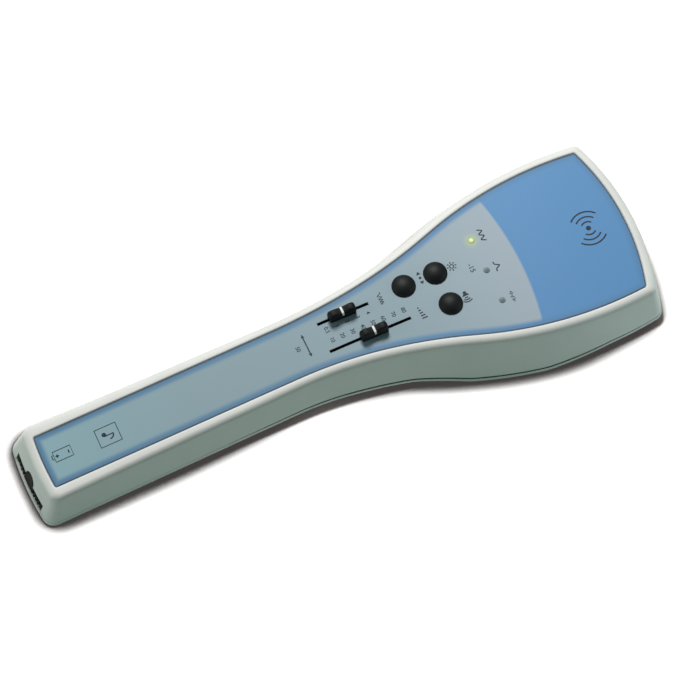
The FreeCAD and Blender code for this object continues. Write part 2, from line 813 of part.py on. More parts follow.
def light_board():
    z = underside_z(window_x) + wall + light_board_lift
    half_x, half_y = light_board_width / 2, light_board_length / 2
    return box(window_x - half_x, window_x + half_x, -half_y, half_y, z, z + board_thickness)


def light_led_set():
    z = underside_z(window_x) + wall + light_board_lift
    return Part.makeCompound([rod(window_x, i * light_led_pitch, z - light_led_height, z, light_led_radius)
                              for i in (-1, 0, 1)])


# ---------------------------------------------------------------- build and save
def build():
    form = outer_form()
    hollow = cavity()
    nodes = {
        "upper_shell": upper_shell(form, hollow),
        "lower_shell": lower_shell(form, hollow),
        "control_foil": control_foil(),
        "frequency_knob": slider_knob(frequency_slot, frequency_rest),
        "frequency_lever": fader_lever(frequency_slot, frequency_rest),
        "frequency_fader": fader_body(frequency_slot),
        "level_knob": slider_knob(level_slot, level_rest),
        "level_lever": fader_lever(level_slot, level_rest),
        "level_fader": fader_body(level_slot),
        "main_board": main_board(),
        "board_screws": board_screw_set(),
        "housing_screws": housing_screw_set(),
        "speaker_cloth": speaker_cloth(),
        "speaker_gasket": speaker_gasket(),
        "speaker_frame": speaker_frame(),
        "speaker_cone": speaker_cone(),
        "speaker_magnet": speaker_magnet(),
        "light_window": light_window(),
        "light_board": light_board(),
        "light_leds": light_led_set(),
        "battery_door": battery_door(form, hollow),
        "battery_latch": battery_latch(),
        "battery_tray": battery_tray(),
        "battery_left": cell(1, True),
        "battery_right": cell(-1, False),
        "bridge_contact": bridge_contact(),
        "plus_contact": end_contact(1),
        "minus_contact": end_contact(-1),
    }
    for name, at in (("select", select_button_at), ("light", light_button_at),
                     ("stimulus", stimulus_button_at)):
        nodes[name + "_button"] = push_button(at)
        nodes[name + "_plunger"] = switch_plunger(at)
        nodes[name + "_switch"] = switch_base(at)
    for name, index in (("tone_lamp", 1), ("narrow_band_lamp", 0), ("noise_lamp", -1)):
        nodes[name] = panel_lamp(index)
    limits = form.optimalBoundingBox(True, False)
    return nodes, V(-(limits.XMin + limits.XMax) / 2, 0, -limits.ZMin)


os.makedirs("parts", exist_ok=True)
pieces, shift = build()
for name, shape in pieces.items():
    shape.translate(shift)
    shape.exportStep("parts/" + name + ".step")
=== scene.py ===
"""Hand-held audiometer: the looks of its pieces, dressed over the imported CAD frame.

Lengths are worked in millimetres along the device, x from the handle end, and turned to
metres in the frame's own place when a mesh is made.
"""
import json
import math
import bpy
import bmesh
import numpy as np
from mathutils import Matrix, Vector
from mathutils.geometry import tessellate_polygon

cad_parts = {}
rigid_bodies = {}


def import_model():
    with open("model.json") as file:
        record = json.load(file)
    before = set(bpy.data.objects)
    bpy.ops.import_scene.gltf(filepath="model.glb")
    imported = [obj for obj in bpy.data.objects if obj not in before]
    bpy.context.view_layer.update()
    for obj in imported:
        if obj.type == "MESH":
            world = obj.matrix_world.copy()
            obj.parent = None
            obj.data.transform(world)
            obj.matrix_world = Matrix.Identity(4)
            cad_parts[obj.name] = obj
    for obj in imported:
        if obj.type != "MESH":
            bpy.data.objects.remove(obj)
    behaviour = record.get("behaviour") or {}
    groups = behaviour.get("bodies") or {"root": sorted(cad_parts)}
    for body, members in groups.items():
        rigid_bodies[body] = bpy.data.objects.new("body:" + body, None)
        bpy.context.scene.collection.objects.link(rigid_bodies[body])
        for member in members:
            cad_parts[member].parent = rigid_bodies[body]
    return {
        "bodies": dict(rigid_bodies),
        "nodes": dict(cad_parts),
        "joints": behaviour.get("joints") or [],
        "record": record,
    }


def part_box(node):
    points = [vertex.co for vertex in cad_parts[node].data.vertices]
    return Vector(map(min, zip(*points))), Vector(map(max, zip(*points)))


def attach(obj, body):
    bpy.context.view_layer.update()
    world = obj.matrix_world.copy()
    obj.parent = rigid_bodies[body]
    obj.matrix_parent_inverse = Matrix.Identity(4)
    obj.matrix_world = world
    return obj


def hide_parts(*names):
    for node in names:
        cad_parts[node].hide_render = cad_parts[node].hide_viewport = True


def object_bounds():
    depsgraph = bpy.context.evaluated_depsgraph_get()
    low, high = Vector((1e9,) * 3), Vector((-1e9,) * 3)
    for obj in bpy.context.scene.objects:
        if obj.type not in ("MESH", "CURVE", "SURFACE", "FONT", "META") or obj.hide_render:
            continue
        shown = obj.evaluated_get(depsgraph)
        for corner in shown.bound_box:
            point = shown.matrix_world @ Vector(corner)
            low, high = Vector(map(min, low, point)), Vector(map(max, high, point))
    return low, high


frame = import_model()
cad_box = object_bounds()
scene = bpy.context.scene

# ------------------------------------------------------------------ table, light and camera
# The device lies on its back on a white table. A key lamp stands beyond the far side, weaker
# ones fill from the head, its near corner and the handle's end, and the table has a lamp of its
# own overhead. The camera looks down over the near side from the handle's end.
MM = 0.001
view_turn, view_height = math.radians(-24.43), math.radians(66.0)
view_distance = 1687.4 * MM
view_target = Vector((-0.96, 0.0, 11.42)) * MM
view_centre_px = (332.8, 351.63)
frame_px, focal_px = 680.0, 3399.3

across = Vector((math.cos(view_turn), math.sin(view_turn), 0.0))
ahead = Vector((-math.sin(view_turn) * math.cos(view_height),
                math.cos(view_turn) * math.cos(view_height), -math.sin(view_height)))
upward = across.cross(ahead)
lens = bpy.data.cameras.new("camera")
lens.sensor_width = 36.0
lens.lens = focal_px * lens.sensor_width / frame_px
lens.shift_x = (frame_px / 2 - view_centre_px[0]) / frame_px
lens.shift_y = (view_centre_px[1] - frame_px / 2) / frame_px
lens.clip_start, lens.clip_end = 0.05, 20.0
camera = bpy.data.objects.new("camera", lens)
camera.matrix_world = Matrix.Translation(view_target - ahead * view_distance) @ Matrix(
    (across, upward, -ahead)).transposed().to_4x4()
scene.collection.objects.link(camera)
scene.camera = camera
scene.view_settings.view_transform = "Standard"


class Field:
    """A value that varies over a surface: one node's output, with arithmetic."""

    def __init__(self, finish, socket):
        self.finish, self.socket = finish, socket

    def maths(self, operation, first, second=None):
        values = {0: first} if second is None else {0: first, 1: second}
        return self.finish.node("ShaderNodeMath", {"operation": operation}, values)

    def __add__(self, other):
        return self.maths("ADD", self, other)

    def __radd__(self, other):
        return self.maths("ADD", other, self)

    def __sub__(self, other):
        return self.maths("SUBTRACT", self, other)

    def __rsub__(self, other):
        return self.maths("SUBTRACT", other, self)

    def __mul__(self, other):
        return self.maths("MULTIPLY", self, other)

    def __rmul__(self, other):
        return self.maths("MULTIPLY", other, self)

    def __truediv__(self, other):
        return self.maths("DIVIDE", self, other)

    def __abs__(self):
        return self.maths("ABSOLUTE", self)

    def least(self, other):
        return self.maths("MINIMUM", self, other)

    def most(self, other):
        return self.maths("MAXIMUM", self, other)

    def beyond(self, limit):
        """1 where the value is past a limit, 0 elsewhere."""
        return self.maths("GREATER_THAN", self, limit)

    def span(self, other):
        """Length of an offset with these two parts: the root of the sum of their squares."""
        return self.maths("SQRT", self * self + other * other)

    def fade(self, start, end):
        """0 before start, 1 after end, smooth between; the other way round if end is less."""
        return self.finish.node("ShaderNodeMapRange", {"interpolation_type": "SMOOTHSTEP"},
                                {"Value": self, "From Min": start, "From Max": end})


class Finish:
    """A material being made: fixed values on the shader, then nodes for what varies."""

    def __init__(self, name, fixed):
        self.material = bpy.data.materials.new(name)
        self.material.use_nodes = True
        self.tree = self.material.node_tree
        self.shader = self.tree.nodes["Principled BSDF"]
        for key, value in fixed.items():
            self.shader.inputs[key].default_value = value

    def node(self, kind, settings, sockets, output=0):
        made = self.tree.nodes.new(kind)
        for key, value in settings.items():
            setattr(made, key, value)
        for key, value in sockets.items():
            if isinstance(value, Field):
                self.tree.links.new(value.socket, made.inputs[key])
            else:
                made.inputs[key].default_value = value
        return Field(self, made.outputs[output])

    def feed(self, key, value):
        self.tree.links.new(value.socket, self.shader.inputs[key])

    def place(self):
        return self.node("ShaderNodeTexCoord", {}, {}, "Object")

    def along(self, axis):
        return self.node("ShaderNodeSeparateXYZ", {}, {0: self.place()}, "XYZ".index(axis))

    def noise(self, scale, detail=2.0, roughness=0.5):
        return self.node("ShaderNodeTexNoise", {}, {"Vector": self.place(), "Scale": scale,
                                                    "Detail": detail, "Roughness": roughness}, "Fac")

    def blend(self, mask, first, second):
        """The first colour where the mask is 0, the second where it is 1."""
        return self.node("ShaderNodeMix", {"data_type": "RGBA"}, {0: mask, 6: first, 7: second}, 2)

    def paint(self, mask, first, second):
        """The surface's own colour, blended by a mask."""
        self.feed("Base Color", self.blend(mask, first, second))

    def relief(self, height, depth):
        """Bump from a height field; depth in metres."""
        bump = self.node("ShaderNodeBump", {}, {"Height": height, "Distance": depth, "Strength": 1.0})
        self.feed("Normal", bump)


def colour(red, green, blue):
    """A colour written in 0-255 display values, as the linear values that nodes take."""
    shown = np.array([red, green, blue]) / 255.0
    linear = np.where(shown <= 0.04045, shown / 12.92, ((shown + 0.055) / 1.055) ** 2.4)
    return (*linear, 1.0)


table_size = 6.0
table_mesh = bpy.data.meshes.new("table")
table_mesh.from_pydata([(-table_size, -table_size, 0), (table_size, -table_size, 0),
                        (table_size, table_size, 0), (-table_size, table_size, 0)], [], [(0, 1, 2, 3)])
table = bpy.data.objects.new("table", table_mesh)
table.location.z = cad_box[0].z
scene.collection.objects.link(table)
# The table's colour is darkened where the device stands close over it: a painted shadow from
# its ambient occlusion, and its faint warm glow sets that shadow's darkest. It looks white, yet
# throws back to the device only as much as a dim green-grey one would.
shade_reach = 10.0 * MM
paper = Finish("white_table", {"Roughness": 0.9, "Specular IOR Level": 0.0,
                               "Emission Color": (1.0, 0.90, 0.88, 1.0), "Emission Strength": 0.056})
shadow_openness = paper.node("ShaderNodeAmbientOcclusion", {"samples": 16}, {"Distance": shade_reach}, "AO")
# Painted shadow: the table's colour goes to black as the occlusion closes in round the device.
paper.paint(shadow_openness.fade(0.70, 0.98), (0.0, 0.0, 0.0, 1.0), (1.0, 0.72, 0.70, 1.0))
seen, mirrored, through = (paper.node("ShaderNodeLightPath", {}, {}, kind)
                           for kind in ("Is Camera Ray", "Is Glossy Ray", "Is Transmission Ray"))
bounce = paper.node("ShaderNodeBsdfDiffuse", {}, {"Color": colour(92, 112, 103)})
surface = paper.node("ShaderNodeMixShader", {}, {0: seen.most(mirrored).most(through), 1: bounce,
                                                 2: Field(paper, paper.shader.outputs[0])})
paper.tree.links.new(surface.socket, paper.tree.nodes["Material Output"].inputs["Surface"])
table_mesh.materials.append(paper.material)

world = bpy.data.worlds.new("studio")
scene.world = world
world.use_nodes = True
sky = world.node_tree.nodes["Background"]
sky.inputs["Color"].default_value = (0.90, 1.0, 0.98, 1.0)
sky.inputs["Strength"].default_value = 0.11


def soft_lamp(name, toward, distance, size, power, tint, on_table):
    """Square area lamp in a direction from the device's middle, facing it.

    It lights either the table alone or all but the table, so that a low light can model the
    form while the shadow round its foot stays short.
    """
    data = bpy.data.lights.new(name, "AREA")
    data.size, data.energy, data.color = size, power, tint
    lamp = bpy.data.objects.new(name, data)
    direction = Vector(toward).normalized()
    lamp.location = view_target + direction * distance
    lamp.rotation_mode = "QUATERNION"
    lamp.rotation_quaternion = direction.to_track_quat("Z", "Y")
    scene.collection.objects.link(lamp)
    reached = bpy.data.collections.new(name + "_reach")
    reached.objects.link(table)
    reached.collection_objects[0].light_linking.link_state = "INCLUDE" if on_table else "EXCLUDE"
    lamp.light_linking.receiver_collection = reached
    lamp.visible_camera = False


soft_lamp("key_lamp", (0.18, 0.66, 0.84), 1.15, 0.36, 12.6, (1.0, 0.99, 0.99), False)
soft_lamp("near_fill", (1.9, -1.0, 0.30), 0.85, 0.6, 2.1, (0.76, 1.0, 0.93), False)
soft_lamp("tip_fill", (0.20, -0.14, 0.03), 0.24, 0.05, 0.007, (0.75, 0.7, 1.0), False)
soft_lamp("end_fill", (-1.0, 0.20, 0.35), 1.3, 0.7, 3.8, (0.88, 1.0, 0.95), False)
soft_lamp("table_lamp", (-0.11, 0.05, 0.94), 1.6, 0.24, 44.0, (0.72, 1.0, 1.02), True)

# ------------------------------------------------------------------ upper shell
# Moulded upper half of the housing, pale grey-green ABS with a fine spark texture. Its walls
# lean out to the parting line, and its rim stands round the recess that takes the foil.
panel_start, panel_tip = 10.0, 323.2
panel_handle_half, panel_crest_half, panel_crest = 14.4, 41.6, 297.0
hollow_radius, side_radius, side_slope = 270.0, 200.0, math.radians(18.7)
tip_radius, end_radius = 126.0, 160.0
foil_corner_handle, foil_corner_head, foil_gap = 1.2, 1.5, 0.15
bezel, end_bezel = 4.2, 3.9
handle_narrowing = 0.45  # keeps the rim even where the handle drops
side_draft, end_draft = math.radians(12.0), math.radians(19.0)
housing_corner = 3.5
corner_growth, corner_inset = 0.4, 0.6  # shares of the wall's lean and inset that its corners take
handle_pitch, underside_pitch = math.radians(4.1), math.radians(3.5)
kink, kink_radius = 165.0, 560.0
panel_height, recess_depth, deck, deck_inset = 33.2, 0.9, 2.0, 0.8
rim_round, rim_fall = 2.3, 0.12  # the rim falls outwards by this much for each millimetre
lip_round, wall = 0.9, 2.2
rim_height, pad_rim_height, groove_depth = 3.0, 3.4, 1.0
view_start, view_end = -15.0, 345.0  # lines of the side view run past both ends

device_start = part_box("control_foil")[0].x / MM - panel_start - foil_gap
foot = panel_start - end_bezel - (panel_height - kink * math.tan(handle_pitch)) * math.tan(end_draft)
underside_points = [(x, (x - foot) * math.tan(underside_pitch)) for x in (view_start, 146.0)]
underside_points += [(196.0, 6.5), (223.0, 0.0), (261.0, 0.0), (294.0, 5.8), (view_end, 9.0)]
underside_bends = [220.0, 45.0, 25.0, 25.0, 60.0]
# How many points each stretch of the outline takes.
steps = {"corner": 8, "handle": 56, "hollow": 44, "flank": 5, "side": 38, "crown": 12, "tip": 48, "end": 16}


def arc(cx, cy, radius, start, end, count):
    """Points on a circle from one angle to another, without the last."""
    turn = np.linspace(start, end, count, endpoint=False)
    return np.column_stack([cx + radius * np.cos(turn), cy + radius * np.sin(turn)])


def straight(ax, ay, bx, by, count):
    """Evenly spaced points from a to b, without the last."""
    share = np.linspace(0.0, 1.0, count, endpoint=False)[:, None]
    return np.array([ax, ay]) * (1 - share) + np.array([bx, by]) * share


def circles_meet(ax, ay, ra, bx, by, rb):
    """Upper crossing of two circles, from the chord between them."""
    apart = math.hypot(bx - ax, by - ay)
    reach = (ra * ra - rb * rb + apart * apart) / (2 * apart)
    rise = math.sqrt(ra * ra - reach * reach)
    ux, uy = (bx - ax) / apart, (by - ay) / apart
    return max(((ax + reach * ux - s * rise * uy, ay + reach * uy + s * rise * ux) for s in (-1, 1)),
               key=lambda point: point[1])


def flank_line(hollow, full, half):
    """Ends of the head's straight flank, and where the hollow flare leaves the handle.

    The flank leaves the full side's circle at its steepest slope, and the hollow's circle
    touches both the flank and the handle, which fixes how far the flank runs.
    """
    bx = panel_crest - full * math.sin(side_slope)
    by = panel_crest_half - side_radius + full * math.cos(side_slope)
    rise = by - half - hollow * (1 - math.cos(side_slope))
    ax, ay = bx - rise / math.tan(side_slope), by - rise
    return (bx, by), (ax, ay), ax - hollow * math.sin(side_slope)


def paddle(grow, half, end, end_corner, head_corner):
    """Closed plan outline, anticlockwise: tip, full side, flare, handle, end, and mirrored back.

    Every arc keeps its centre while its radius grows, so outlines of any growth match point
    for point.
    """
    hollow, full = hollow_radius - grow, side_radius + grow
    (bx, by), (ax, ay), flare = flank_line(hollow, full, half)
    cx, cy = panel_crest, panel_crest_half - side_radius
    tx, tip = panel_tip - tip_radius, tip_radius + grow
    kx, ky = circles_meet(cx, cy, full - head_corner, tx, 0.0, tip - head_corner)
    at_side, at_tip = math.atan2(ky - cy, kx - cx), math.atan2(ky, kx - tx)
    ex, ey = end + end_radius, half - end_corner
    qx = ex - math.sqrt((end_radius - end_corner) ** 2 - ey * ey)
    at_end = math.atan2(ey, qx - ex)
    tip_points = arc(tx, 0.0, tip, -at_tip, at_tip, steps["tip"])
    far = np.vstack([
        arc(kx, ky, head_corner, at_tip, at_side, steps["crown"]),
        arc(cx, cy, full, at_side, math.pi / 2 + side_slope, steps["side"]),
        straight(bx, by, ax, ay, steps["flank"]),
        arc(flare, half + hollow, hollow, -math.pi / 2 + side_slope, -math.pi / 2, steps["hollow"]),
        straight(flare, half, qx, half, steps["handle"]),
        arc(qx, ey, end_corner, math.pi / 2, at_end, steps["corner"]),
    ])
    end_points = arc(ex, 0.0, end_radius, at_end, 2 * math.pi - at_end, steps["end"])
    near = np.vstack([far, end_points[:1]])[1:][::-1] * [1, -1]
    return np.vstack([tip_points, far, end_points, near])


def foil_ring(grow):
    """The foil recess's outline, grown by a width."""
    return paddle(grow, panel_handle_half + grow, panel_start - grow,
                  foil_corner_handle + max(grow, -0.5), foil_corner_head + grow)


def housing_ring(height, inset):
    """The drafted wall's outline at one height, moved in by a width."""
    lean = (panel_height - height) * math.tan(side_draft)
    grow = bezel + lean - inset
    end = (panel_start - end_bezel + inset
           - (panel_height - kink * math.tan(handle_pitch) - height) * math.tan(end_draft))
    corner = housing_corner + lean * corner_growth - inset * corner_inset
    return paddle(grow, panel_handle_half + grow - handle_narrowing, end, corner, corner)


def bent_line(x, points, bends):
    """Height at x along straight runs whose corners are rounded by tangent arcs."""
    points = np.array(points)
    z = np.interp(x, points[:, 0], points[:, 1])
    for before, corner, after, radius in zip(points, points[1:], points[2:], bends):
        into, out = corner - before, after - corner
        into, out = into / np.hypot(*into), out / np.hypot(*out)
        turn = math.acos(np.clip(into @ out, -1, 1))
        start = corner - into * radius * math.tan(turn / 2)
        end = corner + out * radius * math.tan(turn / 2)
        side = 1.0 if into[0] * out[1] - into[1] * out[0] > 0 else -1.0
        centre = start + np.array([-into[1], into[0]]) * radius * side
        inside = (x > start[0]) & (x < end[0])
        bow = np.sqrt(np.maximum(radius ** 2 - (x - centre[0]) ** 2, 0))
        z = np.where(inside, centre[1] - side * bow, z)
    return z


def top_height(x):
    """The panel side: level over the head, falling away along the handle."""
    fall = (kink - view_start) * math.tan(handle_pitch)
    return bent_line(x, [(view_start, panel_height - fall), (kink, panel_height),
                         (view_end, panel_height)], [kink_radius])


def underside_height(x):
    """The table side: rising from the handle's foot, down to the pad, and up to the tip."""
    return bent_line(x, underside_points, underside_bends)


def parting_height(x):
    """The joint of the two shells, one rim above the underside."""
    return bent_line(x, [(px, pz + (pad_rim_height if pz == 0.0 else rim_height))
                         for px, pz in underside_points], underside_bends)


def groove(x):
    """Half the gap seen between the shells: nearly shut on the handle, widest round the neck."""
    return np.interp(x, [80.0, 170.0, 275.0, 312.0], [0.12, 0.70, 0.65, 0.30])


def upper_edge(x):
    """Foot of the upper shell's wall, over the groove."""
    return parting_height(x) + groove(x)


def raised(line, rise):
    """A line of the side view moved up by a height."""
    return lambda x: line(x) + rise


def between(first, second, share):
    """A line of the side view that lies a share of the way from one to another."""
    return lambda x: first(x) * (1 - share) + second(x) * share


def wall_ring(line, inset):
    """A ring on the drafted wall whose height follows a line of the side view.

    The wall leans, so a point moves in plan as it finds its height; five rounds settle it.
    """
    low, high = housing_ring(0.0, inset), housing_ring(panel_height, inset)
    ring = high
    for _ in range(5):
        z = line(ring[:, 0])
        ring = low + (high - low) * (z / panel_height)[:, None]
    return np.column_stack([ring, z])


def foil_row(grow, drop):
    """A ring round the foil's recess, a drop below the panel side's line."""
    ring = foil_ring(grow)
    return np.column_stack([ring, top_height(ring[:, 0]) - drop])


def outward(mesh):
    """Merge doubles and turn every face of a closed mesh outwards."""
    work = bmesh.new()
    work.from_mesh(mesh)
    bmesh.ops.remove_doubles(work, verts=work.verts, dist=1e-7)
    bmesh.ops.recalc_face_normals(work, faces=work.faces)
    work.to_mesh(mesh)
    work.free()


def rows_to_mesh(name, rows, close_rows=False, caps=False):
    """Quads between matching closed rows of points, given in the device's millimetres."""
    rows = np.array(rows)
    count, around = rows.shape[:2]
    index = np.arange(count * around).reshape(count, around)
    if close_rows:
        index = np.vstack([index, index[:1]])
    first, second = index[:-1], index[1:]
    quads = np.stack([first, np.roll(first, -1, 1), np.roll(second, -1, 1), second], -1)
    faces = quads.reshape(-1, 4).tolist()
    if caps:
        faces += [index[0][::-1].tolist(), index[-1].tolist()]
    mesh = bpy.data.meshes.new(name)
    points = rows.reshape(-1, 3) + [device_start, 0.0, 0.0]
    mesh.from_pydata((points * MM).tolist(), [], faces)
    outward(mesh)
    return mesh


def crisp(mesh, angle=35.0):
    """Keep an edge sharp where its faces turn by more than an angle, in degrees."""
    mesh.set_sharp_from_angle(angle=math.radians(angle))


def new_piece(name, mesh, body, finish, nodes=(), smooth=35.0):
    """Link a mesh as a piece that rides on a body and stands for its CAD nodes."""
    piece = bpy.data.objects.new(name, mesh)
    scene.collection.objects.link(piece)
    mesh.materials.clear()
    mesh.materials.append(finish)
    mesh.shade_smooth()
    crisp(mesh, smooth)
    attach(piece, body)
    if nodes:
        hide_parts(*nodes)
    return piece


def final_mesh(source):
    """The mesh that an object's text or modifiers come to."""
    graph = bpy.context.evaluated_depsgraph_get()
    return bpy.data.meshes.new_from_object(source.evaluated_get(graph))


def moulded(name, shade, shine=0.42):
    """Satin moulded plastic: a spark-eroded grain, and faint flow clouds in colour and polish."""
    plastic = Finish(name, {"Specular IOR Level": shine, "Metallic": 0.0})
    clouds = plastic.noise(38.0, 3.0)
    spark = plastic.noise(2600.0, 3.0, 0.6)
    dark = tuple(c * 0.975 for c in shade[:3]) + (1.0,)
    light = tuple(min(c * 1.02, 1.0) for c in shade[:3]) + (1.0,)
    plastic.paint(clouds.fade(0.35, 0.65), dark, light)
    plastic.feed("Roughness", 0.44 + spark * 0.10 + clouds * 0.04)
    plastic.relief(spark, 0.00003)
    return plastic.material


shell_plastic = moulded("shell_plastic", colour(224, 224, 219))

# The wall's rows run from the deck up over the lip, across the rim and its rounding, down
# outside to the groove, and back up inside.
rounding = []
for a in np.radians(np.linspace(0, 86, 12)):
    inset = rim_round * (1 - math.sin(a))
    rounding.append((inset, rim_round * (1 - math.cos(a)) + rim_fall * (bezel - lip_round - inset)))
rim_edge = raised(top_height, -rounding[-1][1])
rim_rows = [foil_row(-deck_inset, recess_depth + deck), foil_row(-deck_inset, recess_depth)]
rim_rows += [foil_row(lip_round * (1 - math.cos(a)), lip_round * (1 - math.sin(a)))
             for a in np.radians(np.linspace(0, 90, 7))]
rim_rows += [wall_ring(raised(top_height, -drop), inset) for inset, drop in rounding]
rim_rows += [wall_ring(between(rim_edge, upper_edge, share), 0.0)
             for share in np.linspace(0, 1, 9)[1:-1]]
rim_rows += [wall_ring(upper_edge, 0.0), wall_ring(upper_edge, groove_depth),
             wall_ring(parting_height, groove_depth), wall_ring(parting_height, wall),
             wall_ring(raised(top_height, -recess_depth - deck), wall)]
rim_mesh = rows_to_mesh("upper_shell_walls", rim_rows, close_rows=True)
upper_walls = new_piece("upper_shell_walls", rim_mesh, "housing", shell_plastic,
                        ["upper_shell"])


def circle(x, y, radius, count):
    """Points of a round hole or mark."""
    return arc(x, y, radius, 0.0, 2 * math.pi, count)


def long_hole(x, y, length, width, along="x", count=10):
    """Points of a slot; with no count its ends are square."""
    half, r = length / 2, width / 2
    if count:
        turn = np.linspace(-math.pi / 2, math.pi / 2, count)
        cap = np.column_stack([half - r + r * np.cos(turn), r * np.sin(turn)])
    else:
        cap = np.array([[half, -r], [half, r]])
    ring = np.vstack([cap, -cap])
    return ring + [x, y] if along == "x" else ring @ [[0, 1], [-1, 0]] + [x, y]


def plate(name, outline, holes, height, thickness, stations):
    """A sheet with holes, laid on a height(x) and given its thickness upwards or downwards.

    The outline is filled round its holes, cut across at each station so that it bends evenly,
    dropped on the height, and copied at the thickness with a wall along every edge.
    """
    loops = [outline] + holes
    flat = np.vstack(loops)
    fill = tessellate_polygon([[Vector((x, y, 0)) for x, y in loop] for loop in loops])
    work = bmesh.new()
    corners = [work.verts.new((x, y, 0.0)) for x, y in flat]
    for triangle in fill:
        work.faces.new([corners[i] for i in triangle])
    for station in stations:
        parts = work.verts[:] + work.edges[:] + work.faces[:]
        bmesh.ops.bisect_plane(work, geom=parts, plane_co=(station, 0, 0), plane_no=(1, 0, 0), dist=1e-5)
    bmesh.ops.dissolve_degenerate(work, dist=1e-4, edges=work.edges[:])
    edge = [e for e in work.edges if e.is_boundary]
    copy = bmesh.ops.duplicate(work, geom=work.verts[:] + work.edges[:] + work.faces[:])
    match = copy["vert_map"]
    for vert in [v for v in copy["geom"] if isinstance(v, bmesh.types.BMVert)]:
        vert.co.z = thickness
    for e in edge:
        a, b = e.verts
        work.faces.new([a, b, match[b], match[a]])
    bmesh.ops.recalc_face_normals(work, faces=work.faces[:])
    mesh = bpy.data.meshes.new(name)
    work.to_mesh(mesh)
    work.free()
    points = np.empty(len(mesh.vertices) * 3)
    mesh.vertices.foreach_get("co", points)
    points = points.reshape(-1, 3)
    points[:, 2] += height(points[:, 0])
    points[:, 0] += device_start
    mesh.vertices.foreach_set("co", (points * MM).ravel())
    outward(mesh)
    return mesh


slot_width = 1.6
frequency_slot, level_slot = (173.7, 7.9, 27.6), (181.5, -7.9, 43.8)
buttons = {"select_button": (207.3, 9.1), "light_button": (224.5, 9.1), "stimulus_button": (224.5, -9.1)}
button_radius = 6.0
lamp_x, lamp_pitch, lamp_radius = 248.4, 17.9, 1.5
lamps = {"tone_lamp": 1, "narrow_band_lamp": 0, "noise_lamp": -1}
# Sheets are cut across here, so that they follow the kink's bend.
bend_stations = np.linspace(kink - 20.5, kink + 20.5, 22)


def panel_holes(button_room, lamp_room):
    """Slots, button holes and lamp holes of the panel, with some room round what fills them."""
    return ([long_hole(x, y, length, slot_width, count=0) for x, y, length in (frequency_slot, level_slot)]
            + [circle(x, y, button_radius + button_room, 72) for x, y in buttons.values()]
            + [circle(lamp_x, side * lamp_pitch, lamp_radius + lamp_room, 32) for side in lamps.values()])


deck_mesh = plate("upper_shell_deck", foil_ring(-deck_inset),
                  panel_holes(button_room=0.3, lamp_room=0.4), raised(top_height, -recess_depth),
                  -deck, bend_stations)
# The deck under the foil is coloured near black as painted shade, so that the slots and the room round the
# buttons and lamps look dark.
deck_shade_dark = moulded("deck_shade_dark", colour(24, 24, 26))
new_piece("upper_shell_deck", deck_mesh, "housing", deck_shade_dark, ["upper_shell"])

# The slot for the latch runs across the sloped end wall, with a half-round notch for a thumb.
slot_floor, slot_top, notch_radius, door_half = rim_height, rim_height + 5.4, 4.5, 15.6
cutter_start, latch_depth = -20.0, 8.3  # cutting blocks start well outside the handle's end


def in_handle(rows):
    """Turn points from the handle's own frame, level with its underside, into the housing's."""
    points = np.asarray(rows, float)
    c, s = math.cos(underside_pitch), math.sin(underside_pitch)
    return np.stack([points[..., 0] * c - points[..., 2] * s + foot, points[..., 1],
                     points[..., 0] * s + points[..., 2] * c], -1)


def prism_mesh(name, outline, low, high, frame=lambda rows: rows):
    """A straight bar: an outline of (y, z) swept from one x to another."""
    rows = [np.column_stack([np.full(len(outline), x), outline]) for x in (low, high)]
    return rows_to_mesh(name, frame(rows), caps=True)


def cut_away(piece, tool_mesh, keep=False):
    """Cut a closed mesh out of a piece, or keep only what lies inside it."""
    tool = bpy.data.objects.new("cutter", tool_mesh)
    scene.collection.objects.link(tool)
    cut = piece.modifiers.new("cut", "BOOLEAN")
    cut.operation, cut.solver, cut.object = "INTERSECT" if keep else "DIFFERENCE", "EXACT", tool
    bpy.context.view_layer.update()
    made = final_mesh(piece)
    piece.modifiers.clear()
    piece.data = made
    bpy.data.objects.remove(tool)


notch = [(notch_radius * math.cos(a), slot_top + notch_radius * math.sin(a))
         for a in np.radians(np.linspace(0, 180, 25))]
slot_outline = np.array([(-door_half, slot_floor), (door_half, slot_floor), (door_half, slot_top)]
                        + notch + [(-door_half, slot_top)])
cut_away(upper_walls, prism_mesh("latch_slot", slot_outline, cutter_start, latch_depth, in_handle))
crisp(upper_walls.data)

# ------------------------------------------------------------------ lower shell
# Moulded lower half: a shallow dish under the upper one, whose pad round the loudspeaker and
# foot at the handle end are what the device rests on. Five screws go up into the upper shell.
under_round, floor_inset = 1.6, wall + 0.6
speaker_x, grille_radius, grille_slot, grille_pitch = 242.5, 12.0, 1.8, 3.6
window_x, window_length, window_width = 304.0, 24.0, 8.0
screws = [(92.0, 0.0), (140.0, 9.0), (140.0, -9.0), (286.0, 31.0), (286.0, -31.0)]
screw_bore, screw_seat = 1.5, 4.5
well_radius, well_wall, well_start, well_foot, well_floor = 2.9, 4.4, 0.01, 1.2, 2.0


def lower_edge(x):
    """Top of the lower shell's wall, under the groove."""
    return parting_height(x) - groove(x)


under_edge, floor_top = raised(underside_height, under_round), raised(underside_height, wall)
base_rows = [wall_ring(parting_height, groove_depth), wall_ring(lower_edge, groove_depth),
             wall_ring(lower_edge, 0.0)]
base_rows += [wall_ring(between(lower_edge, under_edge, share), 0.0) for share in (0.35, 0.7)]
base_rows += [wall_ring(raised(underside_height, under_round * (1 - math.sin(a))),
                        under_round * (1 - math.cos(a))) for a in np.radians(np.linspace(0, 90, 8))]
base_rows += [wall_ring(underside_height, floor_inset), wall_ring(floor_top, floor_inset),
              wall_ring(floor_top, wall), wall_ring(parting_height, wall)]
base_walls = rows_to_mesh("lower_shell_walls", base_rows, close_rows=True)

